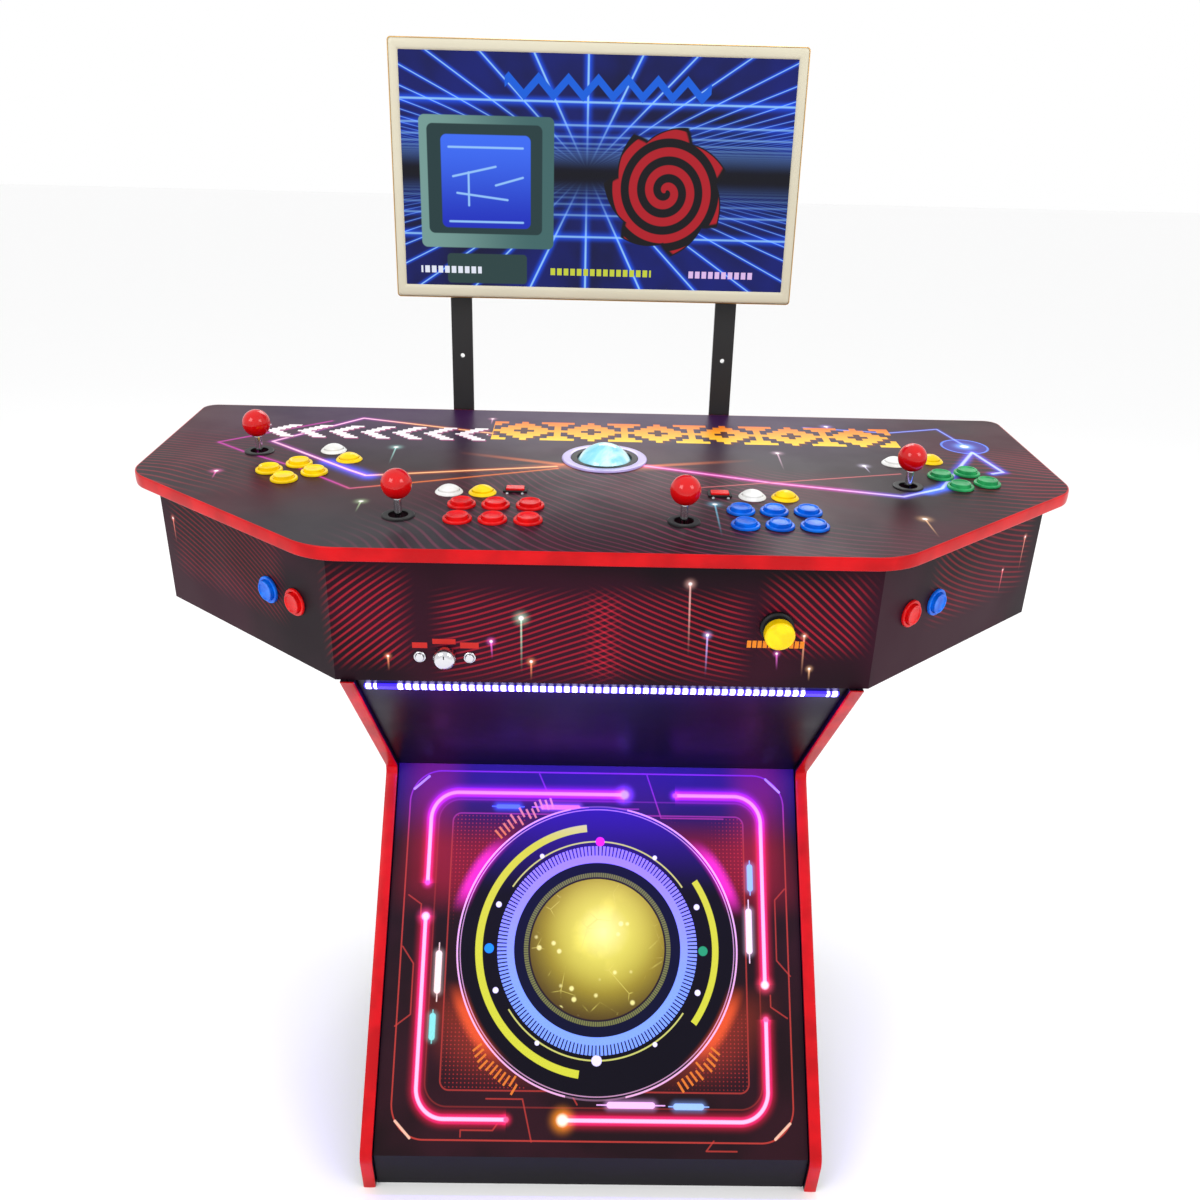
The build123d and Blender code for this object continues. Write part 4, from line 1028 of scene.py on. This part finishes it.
deck_up = deck.to_3x3() @ Vector((0, 0, 1))
deck_front = deck.to_3x3() @ Vector((0, -1, 0))
wing_left = deck.to_3x3() @ Vector((-WING_RUN[1], -WING_RUN[0], 0))
wing_right = deck.to_3x3() @ Vector((WING_RUN[1], -WING_RUN[0], 0))
PLAY_COLOURS = {"p1": "yellow", "p2": "red", "p3": "blue", "p4": "green"}
threads, switches = [], []
for body in frame["bodies"]:
    domed = body.endswith(("start_button", "select_button"))
    if "flipper" in body:
        direction, colour = wing_left if "left" in body else wing_right, "red" if "front" in body else "blue"
    elif "_button" in body and body[:2] in PLAY_COLOURS and "small" not in body:
        direction, colour = deck_up, PLAY_COLOURS[body[:2]]
        if domed:
            colour = "white" if "start" in body else "yellow"
    else:
        continue
    spot, plastic = seat(body, direction, CAP_LOW), plastics[colour]
    cap, rim = (dome_cap, dome_rim) if domed else (play_cap, play_rim)
    piece(f"{body}_cap", body, plastic, [lathe(cap, spot)], [body])
    rim = np.concatenate([rim, barrel])
    piece(f"{body}_rim", "cabinet", plastic, [lathe(rim, spot)])
    threads.append(lathe(nut_profile, spot, 48, knurl(0.012, 12, True)))
    switches.append(placed(brick((20, 6.4), -37.5, -27.5), spot))

# ==== Small rectangular buttons =======================================================
# A red cap in a black bezel.
for body in ("p2_small_button", "p3_small_button"):
    spot = seat(body, deck_up, -7)
    cap = brick((22, 13), -7, 4.2, 1.6)
    shoulder = cap[2:3] * (1, 1, 0) + (0, 0, 3.6)
    cap = np.concatenate([cap[:2], shoulder, cap[2:3] * (0.95, 0.92, 1), cap[3:]])
    piece(f"{body}_cap", body, plastics["red"], [placed(cap, spot)], [body])
    rows = sleeve(((22.6, 13.6, -14, 1.6), (22.6, 13.6, 2.0, 1.6), (23.4, 14.4, 2.4, 1.8), (28, 18, 2.4, 2.4),
                   (29, 19, 1.6, 2.6), (29, 19, 0, 2.6), (24.4, 15.4, 0, 1.6), (24.4, 15.4, -18, 1.6)))
    centre = np.zeros_like(rows[0])
    rows = [centre + (0, 0, -14), *rows, centre + (0, 0, -18)]
    piece(f"{body}_bezel", "cabinet", black, [placed(np.array(rows), spot)])

# ==== Joysticks =======================================================================
# A glossy red ball screwed on a steel shaft, a loose black dust washer, and under the
# panel a moulded body with a mounting plate, the rocking ring, and four microswitches.
chrome = Finish("polished_steel", metallic=1.0, roughness=0.12, base_color=ink(214, 214, 218))
chrome.bump(chrome.noise(chrome.object_place(), 0.4, 3.0), 0.03)
ball_finish = mottled("ball_top", ink(196, 4, 8), ink(216, 8, 12), (0.05, 2.0), roughness=0.12,
                      specular_ior_level=0.4)
BALL, BALL_UP, SHAFT, PIN, PIVOT_DOWN, HOLE = 17.5, 38, 4.5, 1.5, 34, 12.6
ball_low = BALL_UP - BALL * 0.96
bend = np.linspace(math.pi - math.asin(SHAFT / BALL), 0, 26)
ball_profile = [(0, ball_low), (4.4, ball_low)]
ball_profile += [(BALL * math.sin(a), BALL_UP + BALL * math.cos(a)) for a in bend]
shaft_profile = rounded([(0, -62), (SHAFT, -62), (SHAFT, 20.4), (4.2, 21.2), (0, 21.2)], 0.4)
actuator_profile = rounded([(SHAFT, -62), (7, -62), (7, -53), (SHAFT, -53), (SHAFT, -62)], 0.5)
washer_profile = rounded([(11.5, 0.1), (19, 0.1), (18.8, 1.0), (17.6, 1.7), (11.5, 1.7), (11.5, 0.1)], 0.3)
ring_profile = rounded([(7.5, -38), (12, -38), (12, -30), (7.5, -30), (7.5, -38)], 0.5)
pin_profile = [(0, -11.5), (PIN, -11.5), (PIN, 11.5), (0, 11.5)]
stub_profile = [(0, 11.2), (PIN, 11.2), (PIN, 19), (0, 19)]
hinges = {joint["child"]: joint for joint in frame["joints"]}
quarter = math.pi / 2
bases = []
for player in ("p1", "p2", "p3", "p4"):
    body, rocker = f"{player}_joystick", f"{player}_joystick_pivot"
    sideways = Vector(hinges[body]["axis"])
    pivot = sum((Vector(c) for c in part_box(rocker)), Vector()) / 2
    away = deck_up.cross(sideways).normalized()
    axes = Matrix((sideways, away, deck_up)).transposed().to_4x4()
    spot = Matrix.Translation(pivot + deck_up * PIVOT_DOWN * MM) @ axes
    hinge = spot @ Matrix.Translation((0, 0, -PIVOT_DOWN * MM))
    piece(f"{body}_ball", body, ball_finish, [lathe(ball_profile, spot, 64)], [body])
    pin = lathe(pin_profile, hinge @ Matrix.Rotation(quarter, 4, "Y"), 16)
    piece(f"{body}_shaft", body, chrome, [lathe(shaft_profile, spot, 32), pin])
    piece(f"{body}_actuator", body, black, [lathe(actuator_profile, spot, 32)])
    stubs = [lathe(stub_profile, hinge @ Matrix.Rotation(side * quarter, 4, "X"), 16) for side in (-1, 1)]
    ring = lathe(ring_profile, spot, 40)
    piece(f"{player}_rocking_ring", rocker, powder, [ring, *stubs], [rocker])
    piece(f"{body}_washer", "cabinet", black, [lathe(washer_profile, spot)])
    rows = sleeve(((26, 26, -53.6, HOLE), (60, 60, -53.6, 2), (60, 60, -17.6, 2), (62, 94, -17.6, 2),
                   (62, 94, -16, 2), (26, 26, -16, HOLE)))
    bases.append(placed(np.array([*rows, rows[0]]), spot))
    for turn in range(4):
        side = spot @ Matrix.Rotation(turn * quarter, 4, "Z")
        switches.append(placed(brick((6.4, 18), -63.5, -56, 0.6, (14.8, 0)), side))
piece("joystick_bases", "cabinet", black, bases)
piece("button_nuts", "cabinet", black, threads, ["control_housings"], 25)

# ==== Knob, menu buttons and plunger on the front wall ================================
# A chromed volume knob between two steel push buttons, and to the right a yellow
# plunger knob on a rod that pulls out through a black collar.
spot = seat("volume_knob", deck_front, -20)
knob_profile = [(0, 1.0), *rounded([(0, 1.0), (13, 1.0), (13, 11.5), (8.6, 16.4), (0, 17)], 3.6, 8)]
stem = lathe([(0, -20), (2.9, -20), (2.9, 1.2), (0, 1.2)], spot, 24)
knob = lathe(knob_profile, spot, 96, knurl(0.012, 32))
piece("volume_knob_body", "volume_knob", chrome, [knob, stem], ["volume_knob"])
mark = placed(brick((1.2, 4), 16.2, 16.95, 0.4, (0, 5.5)), spot)
piece("volume_knob_mark", "volume_knob", black, [mark])
pot = rounded([(3.1, 0.6), (3.1, -28), (8, -28), (8, -17), (4.5, -17), (4.5, 0.6), (3.1, 0.6)], 0.3)
piece("volume_pot", "cabinet", black, [lathe(pot, spot, 32)])
cap = [(0, -6), *rounded([(0, -6), (4.8, -6), (4.8, 3.4), (0, 3.4)], 0.9)]
rim = [(0, -10), *rounded([(0, -10), (5.1, -10), (5.1, 1.8), (5.8, 2.2), (7, 1.4), (7, 0), (6, 0), (6, -22),
                           (0, -22)], 0.5)]
for node in ("menu_button_left", "menu_button_right"):
    spot = seat(node, deck_front, -6)
    piece(f"{node}_cap", node, chrome, [lathe(cap, spot, 36)], [node])
    piece(f"{node}_rim", "cabinet", chrome, [lathe(rim, spot, 36)])
spot = seat("pull_plunger", deck_front, -78)
knob = rounded([(0, 12), (16.4, 12), (17, 15), (17, 24), (14.6, 26), (0, 25.6)], 2.4, 6)
knob = lathe([(0, 12), *knob], spot, 64)
rod = [(0, -78), (8, -78), (8, -75), (5, -75), (5, 12.6), (0, 12.6)]
piece("plunger_knob", "pull_plunger", plastics["yellow"], [knob], ["pull_plunger"])
piece("plunger_rod", "pull_plunger", chrome, [lathe(rod, spot, 32)])
collar = rounded([(5.1, 5.2), (5.1, -30), (10, -30), (10, 0), (19.5, 0), (19.5, 4.2), (17, 6), (5.1, 6),
                  (5.1, 5.2)], 0.8)
piece("plunger_collar", "cabinet", black, [lathe(collar, spot, 64)])
piece("microswitches", "cabinet", black, switches, sharp=25)

# ==== Trackball =======================================================================
# A three-inch ball lit from inside, in a moulded ring with a faint painted glow, over a
# closed case. The ball's middle is under the deck's top, so that less than half of it stands out.
TRACKBALL, TRACKBALL_DOWN, CUP, CUP_EDGE = 38.1, 17, 38.7, 35.4
ball_mid = sum((Vector(c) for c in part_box("trackball")), Vector()) / 2
spot = Matrix.Translation(ball_mid + deck_up * TRACKBALL_DOWN * MM) @ deck.to_3x3().to_4x4()


def sphere(radius, low, high, steps):
    """Arc of a sphere round the trackball's middle, between two angles from its top."""
    turn = np.linspace(low, high, steps)
    return [(radius * math.sin(a), radius * math.cos(a) - TRACKBALL_DOWN) for a in turn]


def lit(finish, tone):
    """Set a finish's surface and glow to one tone."""
    finish.set(base_color=tone, emission_color=tone)


ball_light = Finish("lit_ball", roughness=0.12, coat_weight=0.6, coat_roughness=0.05, emission_strength=0.35)
marble = ball_light.noise(ball_light.object_place(), 0.03, 4.0, Distortion=1.2)
lit(ball_light, ball_light.mix(marble.fade(0.65, 0.35), ink(120, 196, 212), ink(190, 230, 236)))
whole = lathe(sphere(TRACKBALL, math.pi, 0, 49), spot, 96)
piece("trackball_ball", "trackball", ball_light, [whole], ["trackball"])
# painted glow: the ring glows faintly of its own, though it holds no lamp
lilac = Finish("lilac_ring", roughness=0.28, coat_weight=0.4, emission_strength=0.12)
tone = lilac.noise(lilac.object_place(), 0.04, 2.0)
lit(lilac, lilac.mix(tone, ink(146, 128, 188), ink(176, 160, 212)))
ring = rounded([(44, 0), (56, 0), (55.6, 1.8), (54, 2.5), (44, 2.5), (44, 0)], 0.8)
piece("trackball_ring", "cabinet", lilac, [lathe(ring, spot, 96)])
inner = [(0, -56.6), *sphere(CUP, math.pi, math.asin(CUP_EDGE / CUP), 24), (35.2, 0.5)]
outer = rounded([(35.2, 0.5), (35.2, 1.6), (36.4, 2.4), (43.8, 2.4), (43.8, 0), (41.5, 0), (41.5, -62),
                 (0, -62)], 0.4)
cup = lathe(np.concatenate([inner, outer]), spot, 96)
piece("trackball_cup", "cabinet", black, [cup], ["trackball_housing"])

# ==== Electronics =====================================================================
# Game board, amplifier, power supply and the power inlet in the rear cover.
board = Finish("circuit_board", roughness=0.45)
place = board.object_place()
x, y, z = board.split(place)
tracks = board.noise(place, 0.35, 2.0)
green = board.mix(tracks.fade(0.6, 0.5), ink(10, 60, 34), ink(24, 96, 54))
board.set(base_color=board.mix(inside(z, 780, 830), ink(24, 24, 26), green))
board.bump(tracks, 0.1)
dress("electronics", board)
